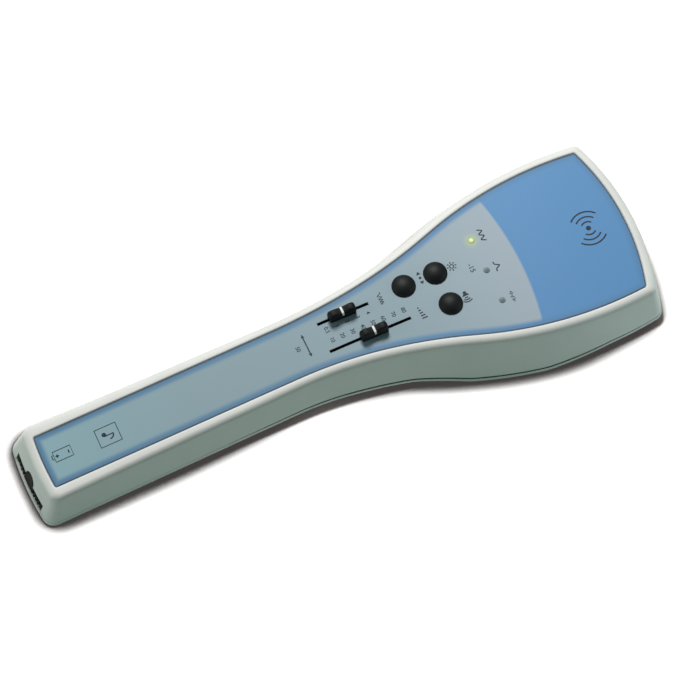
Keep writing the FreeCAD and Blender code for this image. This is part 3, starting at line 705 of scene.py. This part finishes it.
floor_holes = []
for row in range(-3, 4):
    reach = math.sqrt(grille_radius ** 2 - (row * grille_pitch) ** 2)
    floor_holes.append(long_hole(speaker_x + row * grille_pitch, 0, 2 * reach, grille_slot, "y"))
floor_holes.append(long_hole(window_x, 0, window_length, window_width, "y", 16))
floor_holes += [circle(x, y, well_radius, 40) for x, y in screws]
# The floor is cut across wherever the underside bends.
floor_stations = np.concatenate([np.linspace(start, end, count) for start, end, count in (
    (126, 166, 12), (190, 202, 6), (217, 229, 7), (257, 266, 5), (288, 300, 6))])
base_floor = plate("lower_shell_floor", wall_ring(underside_height, floor_inset)[:, :2], floor_holes,
                   underside_height, wall, floor_stations)
lower_walls = new_piece("lower_shell_walls", base_walls, "housing", shell_plastic,
                        ["lower_shell"])
lower_floor = new_piece("lower_shell_floor", base_floor, "housing", shell_plastic,
                        ["lower_shell"])


def turned(name, profile, x, y, count, caps=True):
    """A turned form: each (radius, height) of the profile taken round the upright axis at x, y."""
    turn = np.linspace(0, 2 * math.pi, count, endpoint=False)
    profile = np.array(profile)
    rows = np.stack([x + profile[:, :1] * np.cos(turn), y + profile[:, :1] * np.sin(turn),
                     np.repeat(profile[:, 1:], count, 1)], -1)
    return rows_to_mesh(name, rows, caps=caps)


def joined(name, meshes):
    """Several meshes as one, with the corners that they share merged."""
    work = bmesh.new()
    for mesh in meshes:
        work.from_mesh(mesh)
    made = bpy.data.meshes.new(name)
    work.to_mesh(made)
    work.free()
    outward(made)
    return made


wells = []
for x, y in screws:
    low = float(underside_height(np.array([x]))[0])
    seat = low + screw_seat
    profile = [(well_radius, low + well_start), (well_radius, seat), (screw_bore, seat),
               (screw_bore, seat + well_floor), (well_wall, seat + well_floor),
               (well_wall, low + well_foot), (well_radius, low + well_foot)]
    wells.append(turned("screw_well", profile, x, y, 40, caps=False))
new_piece("screw_wells", joined("screw_wells", wells), "housing", shell_plastic,
          ["lower_shell"])

# ------------------------------------------------------------------ painted joint shade
# A thin dark strip put in the joint of the two shells as painted shade, seen as the dark line
# round the head. It ends behind the battery compartment, where the shells close tight.
joint_shade_start, joint_shade_inset, joint_shade_room = 98.0, 0.15, 0.05


def joint_shade_edge(side):
    """The shade strip's upper line (1) or lower line (-1), just inside the groove."""
    return lambda x: parting_height(x) + side * (groove(x) - joint_shade_room)


def oblong(y0, y1, z0, z1):
    """Corners of a rectangle in the end view."""
    return np.array([(y0, z0), (y1, z0), (y1, z1), (y0, z1)])


joint_shade_rows = [wall_ring(joint_shade_edge(side), inset) for side, inset in (
    (1, joint_shade_inset), (1, groove_depth), (-1, groove_depth), (-1, joint_shade_inset))]
joint_shade_mesh = rows_to_mesh("joint_shade_strip", joint_shade_rows, close_rows=True)
# The strip's dark colour is painted shade in the joint, not a part of the device.
seal_rubber = moulded("seal_rubber", colour(58, 74, 64), 0.1)
joint_shade = new_piece("joint_shade_strip", joint_shade_mesh, "housing", seal_rubber)
handle_block = oblong(-60.0, 60.0, -10.0, 40.0)
cut_away(joint_shade, prism_mesh("handle_block", handle_block, cutter_start, joint_shade_start))

# ------------------------------------------------------------------ battery door
# The middle of the handle's underside, moulded in the shell's plastic. Two tongues and a
# rounded edge hook in at its inner end, and it swings down from the end wall's latch.
door_gap, door_tongue, door_nose = 0.3, 3.4, wall / 2
door_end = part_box("battery_door")[1].x / MM - device_start
door_reach = (door_end - foot) / math.cos(underside_pitch) - door_tongue
nose_start = door_reach - door_nose
door_low, door_high = -10.0, rim_height + 3.0
tongue_y, tongue_half, tongue_root, tongue_thickness = 0.6 * door_half, 3.0, 3.2, 1.2
tongue_low = wall + door_gap


def door_space(reach, room=0.0):
    """A block round the door in the handle's frame, grown by the clearance."""
    half = door_half + room
    return prism_mesh("door_space", oblong(-half, half, door_low, door_high), cutter_start,
                      reach + room, in_handle)


door_meshes = {}
for name, source in (("battery_door_rim", lower_walls), ("battery_door_panel", lower_floor)):
    twin = bpy.data.objects.new(name, source.data.copy())
    scene.collection.objects.link(twin)
    cut_away(twin, door_space(nose_start), keep=True)
    door_meshes[name] = twin.data
    bpy.data.objects.remove(twin)
    cut_away(source, door_space(door_reach, door_gap))
    crisp(source.data)

nose = [np.insert(circle(nose_start, door_nose, door_nose, 24), 1, y, axis=1)
        for y in (-door_half, door_half)]
hooks = [rows_to_mesh("nose", in_handle(nose), caps=True)]
for side in (-1, 1):
    for low, end in ((door_nose, nose_start), (tongue_low, door_reach + door_tongue)):
        bar = oblong(side * tongue_y - tongue_half, side * tongue_y + tongue_half,
                     low, tongue_low + tongue_thickness)
        hooks.append(prism_mesh("tongue", bar, door_reach - tongue_root, end, in_handle))
door_meshes["battery_door_edge"] = joined("battery_door_edge", hooks)
for name, mesh in door_meshes.items():
    mesh.name = name
    new_piece(name, mesh, "battery_door", shell_plastic, ["battery_door"])

# ------------------------------------------------------------------ battery latch and tray
# The ribbed bar in the handle's end wall that holds the door, and the bay that the cells lie
# in. Both are black mouldings: the bar slides in its slot, the bay hangs from the upper shell.
record = frame["record"]
body_of = {node: body for body, members in record["behaviour"]["bodies"].items() for node in members}


def dress(nodes, finish, smooth=None):
    """Show CAD nodes in a finish; with an angle, as merged and smoothly shaded copies."""
    for node in nodes:
        kept = frame["nodes"][node]
        if smooth is None:
            kept.data.materials.clear()
            kept.data.materials.append(finish)
            continue
        mesh = kept.data.copy()
        work = bmesh.new()
        work.from_mesh(mesh)
        bmesh.ops.remove_doubles(work, verts=work.verts[:], dist=1e-6)
        work.to_mesh(mesh)
        work.free()
        new_piece(node + "_form", mesh, body_of[node], finish, [node], smooth)


dress(["battery_latch"], moulded("latch_plastic", colour(7, 11, 11), 0.06), 30)
black = moulded("black_plastic", colour(18, 21, 22), 0.2)
dress(["battery_tray"], black, 30)

# ------------------------------------------------------------------ switches and slide controls
# Under each button a small black switch with its plunger, and under each knob a slide control:
# a black lever in a case folded from tinned sheet. All of them stand on the main board.


def metal(name, shade, rough):
    """Plated sheet or wire: bright, with a slight cloud in its colour and its polish."""
    plating = Finish(name, {"Metallic": 1.0})
    cloud = plating.noise(300.0, 3.0)
    plating.paint(cloud.fade(0.3, 0.7), tuple(c * 0.9 for c in shade[:3]) + (1.0,), shade)
    plating.feed("Roughness", rough + cloud * 0.15)
    return plating.material


dress([name.replace("button", piece) for name in buttons for piece in ("plunger", "switch")], black)
dress(["frequency_lever", "level_lever"], black)
dress(["frequency_fader", "level_fader"], metal("tinned_case", colour(180, 182, 184), 0.35))

# ------------------------------------------------------------------ screws and battery contacts
# Zinc-plated steel screws go up into the upper shell's bosses and posts. The contacts are of
# nickel-plated spring steel and stand in both ends of the tray.
zinc_plate = metal("zinc_plated_steel", colour(188, 190, 192), 0.28)
dress(["board_screws", "housing_screws"], zinc_plate)
dress(["bridge_contact", "plus_contact", "minus_contact"],
      metal("nickel_plated_spring", colour(205, 202, 192), 0.2))

# ------------------------------------------------------------------ battery cells
# Two cells lie side by side in the tray, one each way. Each is wrapped in plain silver film,
# with a copper band round the positive end.
band_length, band_edge = 11.0, 0.3


def cell_finish(node, forward):
    """Silver wrap, copper within the band's length of the positive end, scuffed all over."""
    wrap = Finish(node + "_wrap", {"Specular IOR Level": 0.6, "Roughness": 0.28})
    scuff = wrap.noise(220.0, 4.0).fade(0.3, 0.8)
    low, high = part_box(node)
    from_end = abs(wrap.along("X") - (high.x if forward else low.x)) / MM
    silver = wrap.blend(scuff, colour(138, 142, 147), colour(160, 163, 168))
    copper = wrap.blend(scuff, colour(160, 104, 62), colour(180, 120, 76))
    wrap.paint(from_end.fade(band_length, band_length - band_edge), silver, copper)
    return wrap.material


for node, forward in (("battery_left", True), ("battery_right", False)):
    dress([node], cell_finish(node, forward), 40)

# ------------------------------------------------------------------ circuit boards
# Glass-fibre boards under a green solder mask. The main one sits under three posts of the upper
# shell, and a small one stands over the light window.
solder_mask = Finish("board_green", {"Specular IOR Level": 0.6})
fibres = solder_mask.noise(900.0, 2.0)
solder_mask.paint(fibres.fade(0.35, 0.65), colour(24, 84, 50), colour(32, 98, 60))
solder_mask.feed("Roughness", 0.3 + fibres * 0.15)
dress(["main_board", "light_board"], solder_mask.material)

# ------------------------------------------------------------------ loudspeaker
# A black frame with a dark woven cone and a plated magnet, on a foam ring. It is set in the
# lower shell's collar, with a woven dust cloth between the ring and the grille.
weave = Finish("speaker_cloth", {"Roughness": 0.95, "Specular IOR Level": 0.1})
warp, weft = (weave.node("ShaderNodeTexWave", {"wave_type": "BANDS", "bands_direction": direction},
                         {"Vector": weave.place(), "Scale": 700.0, "Distortion": 0.4}, "Fac")
              for direction in "XY")
thread = warp.most(weft)
weave.paint(thread, colour(14, 14, 15), colour(48, 48, 50))
weave.relief(thread, 0.00008)
foam = Finish("foam_rubber", {"Roughness": 0.9})
pores = foam.noise(1800.0, 2.0)
foam.paint(pores, colour(22, 22, 24), colour(52, 52, 55))
foam.relief(pores, 0.0001)
dress(["speaker_cloth", "speaker_cone"], weave.material)
dress(["speaker_gasket"], foam.material)
dress(["speaker_frame"], black)
dress(["speaker_magnet"], zinc_plate)

# ------------------------------------------------------------------ light window
# A clear moulded window let into the lower shell near the tip, held by its flange inside, and
# the three clear diodes that shine through it.
clear_lens = Finish("clear_lens", {"Specular IOR Level": 0.6, "Transmission Weight": 0.6, "IOR": 1.49})
haze = clear_lens.noise(500.0, 2.0)
clear_lens.paint(haze, colour(226, 230, 228), colour(240, 243, 241))
clear_lens.feed("Roughness", 0.12 + haze * 0.1)
dress(["light_window", "light_leds"], clear_lens.material, 30)

# ------------------------------------------------------------------ control foil
# Printed polycarbonate overlay in the recess: blue head and border, with a pale grey window
# over the controls and the handle. The border fades into the window as an airbrushed edge.
foil_thickness = 0.4
level_foil = panel_height - recess_depth + foil_thickness


def foil_surface(x):
    """Height of the foil's printed face."""
    return top_height(x) - recess_depth + foil_thickness


foil_mesh = plate("control_foil_sheet", foil_ring(-foil_gap),
                  panel_holes(button_room=0.08, lamp_room=0.1), foil_surface, -foil_thickness,
                  bend_stations)


def plan_place(finish):
    """Millimetres along and across the device, as fields."""
    return finish.along("X") / MM - device_start, finish.along("Y") / MM


film = Finish("printed_foil", {"Specular IOR Level": 0.35})
along, sideways = plan_place(film)
aside = abs(sideways)


def reach_from(x, y):
    """Distance in plan from a point on the mirrored half."""
    return (along - x).span(aside - y)


# The gap from each spot to the foil's edge: measured to the stretch of outline that it lies
# beside, then to the tip and the handle's end where those are nearer.
(flank_x, flank_y), (flank_start, _), flare_start = flank_line(
    hollow_radius, side_radius, panel_handle_half)
at_hollow = reach_from(flare_start, panel_handle_half + hollow_radius) - hollow_radius
at_flank = ((flank_y - aside) + (along - flank_x) * math.tan(side_slope)) * math.cos(side_slope)
at_side = side_radius - reach_from(panel_crest, panel_crest_half - side_radius)
side_gap = panel_handle_half - aside
for start, following in ((flare_start, at_hollow), (flank_start, at_flank), (flank_x, at_side)):
    side_gap = side_gap + (following - side_gap) * along.beyond(start)
tip_gap = tip_radius - reach_from(panel_tip - tip_radius, 0.0)
past_middle = along.beyond(panel_crest - side_radius / 2)
edge_gap = side_gap.least(side_gap + (tip_gap - side_gap) * past_middle)
edge_gap = edge_gap.least(end_radius - reach_from(panel_start + end_radius, 0.0))

# The grey window stops at a bow across the head and fades out along the blue border.
window_apex, window_bow, window_blur = 265.6, 163.0, 0.7
border_start, border_end = 1.6, 4.6
short_of_bow = reach_from(window_apex - window_bow, 0.0).fade(window_bow + window_blur,
                                                              window_bow - window_blur)
in_window = edge_gap.fade(border_start, border_end) * short_of_bow
# The blue, and the grey over the head, are painted lighter towards the head: painted light, falling off
# towards the handle.
blue = film.blend(along.fade(140.0, 270.0), colour(84, 130, 164), colour(78, 136, 187))
# The blue darkens over its last few millimetres towards the foil's edge, and right at the edge a dark line
# is painted shade from the recess's wall.
blue = film.blend(edge_gap.fade(4.5, 0.5) * 0.4, blue, colour(72, 108, 134))
blue = film.blend(edge_gap.fade(1.1, 0.3), blue, colour(50, 74, 98))
grey = film.blend(along.fade(-60.0, 120.0), colour(136, 176, 185), colour(132, 155, 164))
grey = film.blend(along.fade(190.0, 270.0), grey, colour(155, 170, 180))

# Painted light: the film's colour is lightened to a faint green round the lit lamp, as the lamp's glow on
# it.
glow_reach, glow_start, glow_share = 5.2, 0.8, 0.6
from_lit_lamp = (along - lamp_x).span(sideways - lamp_pitch)
film.paint(from_lit_lamp.fade(glow_reach, glow_start) * glow_share,
           film.blend(in_window, blue, grey), colour(186, 197, 136))
fine = film.noise(3200.0, 2.0)
film.feed("Roughness", 0.42 + fine * 0.10)
film.relief(fine, 0.000012)
new_piece("control_foil_sheet", foil_mesh, "housing", film.material, ["control_foil"])

# ------------------------------------------------------------------ printed marks
# Screen-printed dark marks on the foil: the two scales' numbers and plain pictograms, each
# cut flat and laid a hair above the sheet.
ink_lift = 0.02
digit_share, digit_boldness = 0.72, 0.045  # a digit's share of its type's size, and its thickening
ink_loops, ink_faces = [], []


def lay_ink(points, at, faces):
    """Put flat marks on the foil, their own up towards the head and their right the near side."""
    start = sum(len(loop) for loop in ink_loops)
    points = np.asarray(points, float)
    x, y = at[0] + points[:, 1], at[1] - points[:, 0]
    ink_loops.append(np.column_stack([x, y, foil_surface(x) + ink_lift]))
    ink_faces.extend([[start + i for i in face] for face in faces])


def number(text, at, height):
    """A number, made a flat mesh first, then laid with its middle at a place."""
    curve = bpy.data.curves.new("number", "FONT")
    curve.body, curve.align_x, curve.align_y = text, "CENTER", "CENTER"
    curve.size, curve.offset = height / digit_share, digit_boldness
    letter = bpy.data.objects.new("number", curve)
    scene.collection.objects.link(letter)
    mesh = final_mesh(letter)
    bpy.data.objects.remove(letter)
    flat = np.empty(len(mesh.vertices) * 3)
    mesh.vertices.foreach_get("co", flat)
    lay_ink(flat.reshape(-1, 3)[:, :2], at, [list(face.vertices) for face in mesh.polygons])


def stroke(points, at, width=0.62, closed=False):
    """A line of even width: each point moved half the width to either side of its direction."""
    points = np.asarray(points, float)
    before, after = np.roll(points, 1, 0), np.roll(points, -1, 0)
    if not closed:
        before[0], after[-1] = points[0], points[-1]
    run = after - before
    run /= np.hypot(run[:, 0], run[:, 1])[:, None]
    edge = np.column_stack([-run[:, 1], run[:, 0]]) * width / 2
    count = len(points)
    last = count if closed else count - 1
    faces = [[i, count + i, count + (i + 1) % count, (i + 1) % count] for i in range(last)]
    lay_ink(np.vstack([points + edge, points - edge]), at, faces)


def solid_mark(points, at):
    """A filled mark from its corners, anticlockwise."""
    lay_ink(points, at, [list(range(len(points)))])


digit_height, large_digit_height = 2.1, 2.7
octaves, tens = ("0.5", "1", "2", "3", "4"), [str(10 * i) for i in range(1, 9)]
for texts, start, pitch, y in ((octaves, 163.0, 5.55, 3.3), (tens, 163.4, 5.47, -2.6)):
    for i, text in enumerate(texts):
        number(text, (start + pitch * i, y), digit_height)
number("-15", (242.0, 4.2), large_digit_height)
number("50", (146.0, 0.0), digit_height)

# Light: a small sun.
sun_at = (233.5, 9.1)
stroke(circle(0, 0, 1.0, 28), sun_at, 0.5, closed=True)
for turn in np.radians(np.arange(0, 360, 45)):
    stroke(np.outer([1.6, 2.5], [math.cos(turn), math.sin(turn)]), sun_at)

# Select: arrows to either side of a dot.
select_at = (216.6, 9.8)
for side in (-1, 1):
    solid_mark([(side * 3.6, 0.0), (side * 1.9, side * 1.2), (side * 1.9, -side * 1.2)], select_at)
solid_mark(circle(0, 0, 0.7, 16), select_at)

# Stimulus: a loudspeaker and its sound.
stimulus_at = (233.1, -9.0)
solid_mark([(-3.2, -0.8), (-2.1, -0.8), (-2.1, 0.8), (-3.2, 0.8)], stimulus_at)
solid_mark([(-2.1, -0.8), (-0.7, -1.9), (-0.7, 1.9), (-2.1, 0.8)], stimulus_at)
for radius in (1.3, 2.5, 3.7):
    stroke(arc(-1.0, 0.0, radius, -0.75, 0.8, 10), stimulus_at)

# Sound patterns beside the lamps: a tone, a narrow band and noise.
sweep = np.linspace(-1, 1, 41)
stroke(np.column_stack([3.6 * sweep, 1.1 * np.sin(2.5 * math.pi * sweep)]), (254.4, 18.6))
stroke(np.column_stack([2.8 * sweep, 2.3 * np.exp(-(sweep / 0.32) ** 2) - 1.1]), (254.2, 0.1))
jagged = [0.0, 0.7, -0.9, 1.2, -0.4, 0.5, -1.2, 0.9, -0.6, 1.1, -0.8, 0.3, 0.0]
stroke(np.column_stack([np.linspace(-3, 3, len(jagged)), jagged]), (253.9, -18.0), 0.55)

# Scales: a wave that quickens for the frequency, rising bars for the level.
quickening = np.sin(2.2 * math.pi * (sweep + 1.25) ** 1.6)
stroke(np.column_stack([3.2 * sweep, quickening]), (194.0, 7.8), 0.4)
for i in range(5):
    bar_x = -3.0 + 1.5 * i
    stroke([(bar_x, -1.2), (bar_x, -0.5 + 0.55 * i)], (209.5, -7.6), 0.7)

# Working distance: an arrow to both ends over its number.
distance_at = (150.6, 0.0)
stroke([(-5.0, 0.0), (5.0, 0.0)], distance_at)
for side in (-1, 1):
    solid_mark([(side * 6.4, 0.0), (side * 4.6, side * 0.9), (side * 4.6, -side * 0.9)], distance_at)

# Handle end: how a cell lies, with its plus and its minus.
cell_at = (20.8, 0.4)
stroke([(-2.8, -4.6), (2.8, -4.6), (2.8, 4.6), (-2.8, 4.6)], cell_at, 0.5, closed=True)
stroke([(-1.1, -4.8), (-1.1, -5.6), (1.1, -5.6), (1.1, -4.8)], cell_at, 0.5)
stroke([(-0.9, -3.0), (0.9, -3.0)], cell_at)
stroke([(0.0, -3.9), (0.0, -2.1)], cell_at)
stroke([(-0.9, 3.0), (0.9, 3.0)], cell_at)

# Beside it, a note in a frame.
note_at = (44.4, -0.4)
stroke([(-4.9, -5.5), (4.9, -5.5), (4.9, 5.5), (-4.9, 5.5)], note_at, 0.55, closed=True)
solid_mark(circle(-1.0, -1.9, 1.15, 20), note_at)
stroke([(-0.1, -1.9), (-0.1, 2.9)], note_at)
stroke(arc(-0.1, 0.4, 2.3, 1.5, -0.25, 9), note_at, 0.7)

# Head: sound spreading from a dot to both sides.
sound_at = (304.5, 0.0)
solid_mark(circle(0, 0, 1.3, 24), sound_at)
for side in (0.0, math.pi):
    for radius in (3.6, 6.4, 9.2):
        stroke(arc(0.0, 0.0, radius, side - 0.85, side + 0.9, 18), sound_at, 0.8)

ink_mesh = bpy.data.meshes.new("panel_print")
ink_mesh.from_pydata(((np.vstack(ink_loops) + [device_start, 0, 0]) * MM).tolist(), [], ink_faces)
work = bmesh.new()
work.from_mesh(ink_mesh)
bmesh.ops.solidify(work, geom=work.faces[:], thickness=ink_lift * MM / 2)
work.to_mesh(ink_mesh)
work.free()
ink = Finish("printing_ink", {"Specular IOR Level": 0.3})
speckle = ink.noise(4000.0, 2.0)
ink.paint(speckle.fade(0.3, 0.7), colour(14, 30, 38), colour(26, 42, 50))
ink.feed("Roughness", 0.5 + speckle * 0.1)
new_piece("panel_print", ink_mesh, "housing", ink.material)

# ------------------------------------------------------------------ slider knobs
# Black moulded finger knobs pressed on the levers: a hump at each end, a saddle between, and
# a white index line let into the saddle and down the near face.
knob_length, knob_width, knob_height, knob_lift = 14.2, 5.2, 5.0, 0.7
saddle_depth, hump_length, hump_drop, hump_fill = 0.9, 2.4, 1.9, 0.97
corner_round, corner_fill = 0.9, 0.99
section_power, section_taper = 0.42, 0.16
index_width, index_blur, index_foot, index_fade = 1.05, 0.06, panel_height + 2.6, 0.3
knobs = {"frequency": (frequency_slot, -0.5), "level": (level_slot, 1.9)}


def end_fall(s, reach, fill):
    """Share fallen near the knob's ends: a quarter circle over the reach, stopped short by fill."""
    share = np.clip((np.abs(s) - (knob_length / 2 - reach)) / reach, 0, 1)
    return 1 - np.sqrt(1 - share ** 2 * fill)


def knob_rows(x, y, foot_height):
    """Cross-sections along the knob: a rounded box whose top follows two humps and a saddle.

    The top is the height less a saddle of cos^2 in the middle and a quarter-round drop at each
    end; each section is a superellipse over a flat foot, narrowed towards its top.
    """
    half = knob_length / 2
    s = np.sin(np.linspace(-math.pi / 2, math.pi / 2, 61)) * half
    saddle = np.cos(np.clip(s / (half - hump_length), -1, 1) * math.pi / 2) ** 2
    top = knob_height - saddle_depth * saddle - hump_drop * end_fall(s, hump_length, hump_fill)
    width = knob_width / 2 - corner_round * end_fall(s, corner_round, corner_fill)
    turn = np.linspace(0, math.pi, 33)
    sideways = np.sign(np.cos(turn)) * np.abs(np.cos(turn)) ** section_power
    up = np.sin(turn) ** section_power
    taper = 1 - section_taper * up ** 2
    return np.stack([np.repeat(x + s[:, None], len(turn), 1),
                     y + width[:, None] * sideways * taper,
                     foot_height + top[:, None] * up], -1)


def knob_finish(name, x):
    """Satin black with the white index line where the saddle is lowest."""
    knob = Finish(name, {"Specular IOR Level": 0.22})
    away = abs(plan_place(knob)[0] - x)
    spark = knob.noise(2400.0, 3.0, 0.6)
    dark = knob.blend(spark.fade(0.3, 0.7), colour(5, 8, 9), colour(11, 15, 16))
    line = away.fade(index_width / 2 + index_blur, index_width / 2 - index_blur)
    high = (knob.along("Z") / MM).fade(index_foot, index_foot + index_fade)
    knob.paint(line * high, dark, colour(236, 236, 232))
    knob.feed("Roughness", 0.50 + spark * 0.14)
    knob.relief(spark, 0.00002)
    return knob.material


for name, ((slot_x, slot_y, _), rest) in knobs.items():
    rows = knob_rows(slot_x + rest, slot_y, level_foil + knob_lift)
    mesh = rows_to_mesh(name + "_knob_form", rows, caps=True)
    finish = knob_finish(name + "_knob_black", slot_x + rest)
    new_piece(name + "_knob_form", mesh, name + "_slider", finish,
              [name + "_knob"], 50)

# ------------------------------------------------------------------ push buttons
# Soft black rubber domes on a flange under the deck; each rises a little out of its hole.
button_rise, button_dome, button_edge = 0.35, 2.55, 0.35
button_flange, flange_thickness, flange_top = 1.2, 1.0, panel_height - recess_depth - deck - 0.4
axis_radius = 0.02
rubber = Finish("button_rubber", {"Specular IOR Level": 0.28})
bloom = rubber.noise(90.0, 3.0)
grit = rubber.noise(2600.0, 3.0, 0.6)
rubber.paint(bloom.fade(0.3, 0.7), colour(5, 9, 10), colour(11, 16, 17))
rubber.feed("Roughness", 0.50 + grit * 0.14)
rubber.relief(grit, 0.00003)


def dome_profile(radius, seat, rise, edge, count=14):
    """Half-section of a domed top: a spherical cap whose rim is rounded into the side."""
    crown = (radius ** 2 + rise ** 2) / (2 * rise)
    steep = math.asin((radius - edge) / crown)
    cap = [(crown * math.sin(a), seat + rise - crown * (1 - math.cos(a)))
           for a in np.linspace(steep, 0, count)]
    centre = cap[0][1] - edge * math.cos(steep)
    bead = [(radius - edge + edge * math.cos(a), centre + edge * math.sin(a))
            for a in np.linspace(0, math.pi / 2 - steep, 6)]
    return bead[:-1] + cap[:-1] + [(axis_radius, seat + rise)]


flange_radius, flange_foot = button_radius + button_flange, flange_top - flange_thickness
button_profile = [(axis_radius, flange_foot), (flange_radius, flange_foot),
                  (flange_radius, flange_top), (button_radius, flange_top)]
button_profile += dome_profile(button_radius, level_foil + button_rise, button_dome, button_edge)
for name, (x, y) in buttons.items():
    mesh = turned(name + "_form", button_profile, x, y, 72)
    new_piece(name + "_form", mesh, name, rubber.material, [name], 50)

# ------------------------------------------------------------------ panel lamps
# Small moulded lenses in the foil's three round holes, their legs soldered to the board. The
# tone lamp is lit.
lamp_rise, lamp_bevel, lamp_height, lamp_glow = 0.5, 0.5, 8.0, 0.24
lit_colours = (colour(180, 194, 128), colour(216, 230, 172))
unlit_colours = (colour(128, 142, 146), colour(92, 106, 110))
die_radius = 0.3


def lens_finish(name, y, lit):
    """Tinted lens over its die: the middle has its own colour, and glows where it is lit."""
    lens_tint = Finish(name, {"Specular IOR Level": 0.3, "Roughness": 0.5,
                              "Emission Strength": lamp_glow if lit else 0.0})
    along_x, along_y = plan_place(lens_tint)
    out = (along_x - lamp_x).span(along_y - y)
    shade = lens_tint.blend(out.fade(lamp_radius, die_radius), *(lit_colours if lit else unlit_colours))
    lens_tint.feed("Base Color", shade)
    lens_tint.feed("Emission Color", shade)
    return lens_tint.material


lamp_top = level_foil + lamp_rise
lamp_profile = [(axis_radius, lamp_top - lamp_height), (lamp_radius, lamp_top - lamp_height),
                (lamp_radius, lamp_top - lamp_bevel)]
lamp_profile += [(lamp_radius * math.cos(a), lamp_top - lamp_bevel + lamp_bevel * math.sin(a))
                 for a in np.radians(np.linspace(15, 90, 7))[:-1]] + [(axis_radius, lamp_top)]
for name, side in lamps.items():
    lit = name == "tone_lamp"
    mesh = turned(name + "_form", lamp_profile, lamp_x, side * lamp_pitch, 40)
    finish = lens_finish(name + "_lens", side * lamp_pitch, lit)
    new_piece(name + "_form", mesh, "housing", finish, [name], 50)
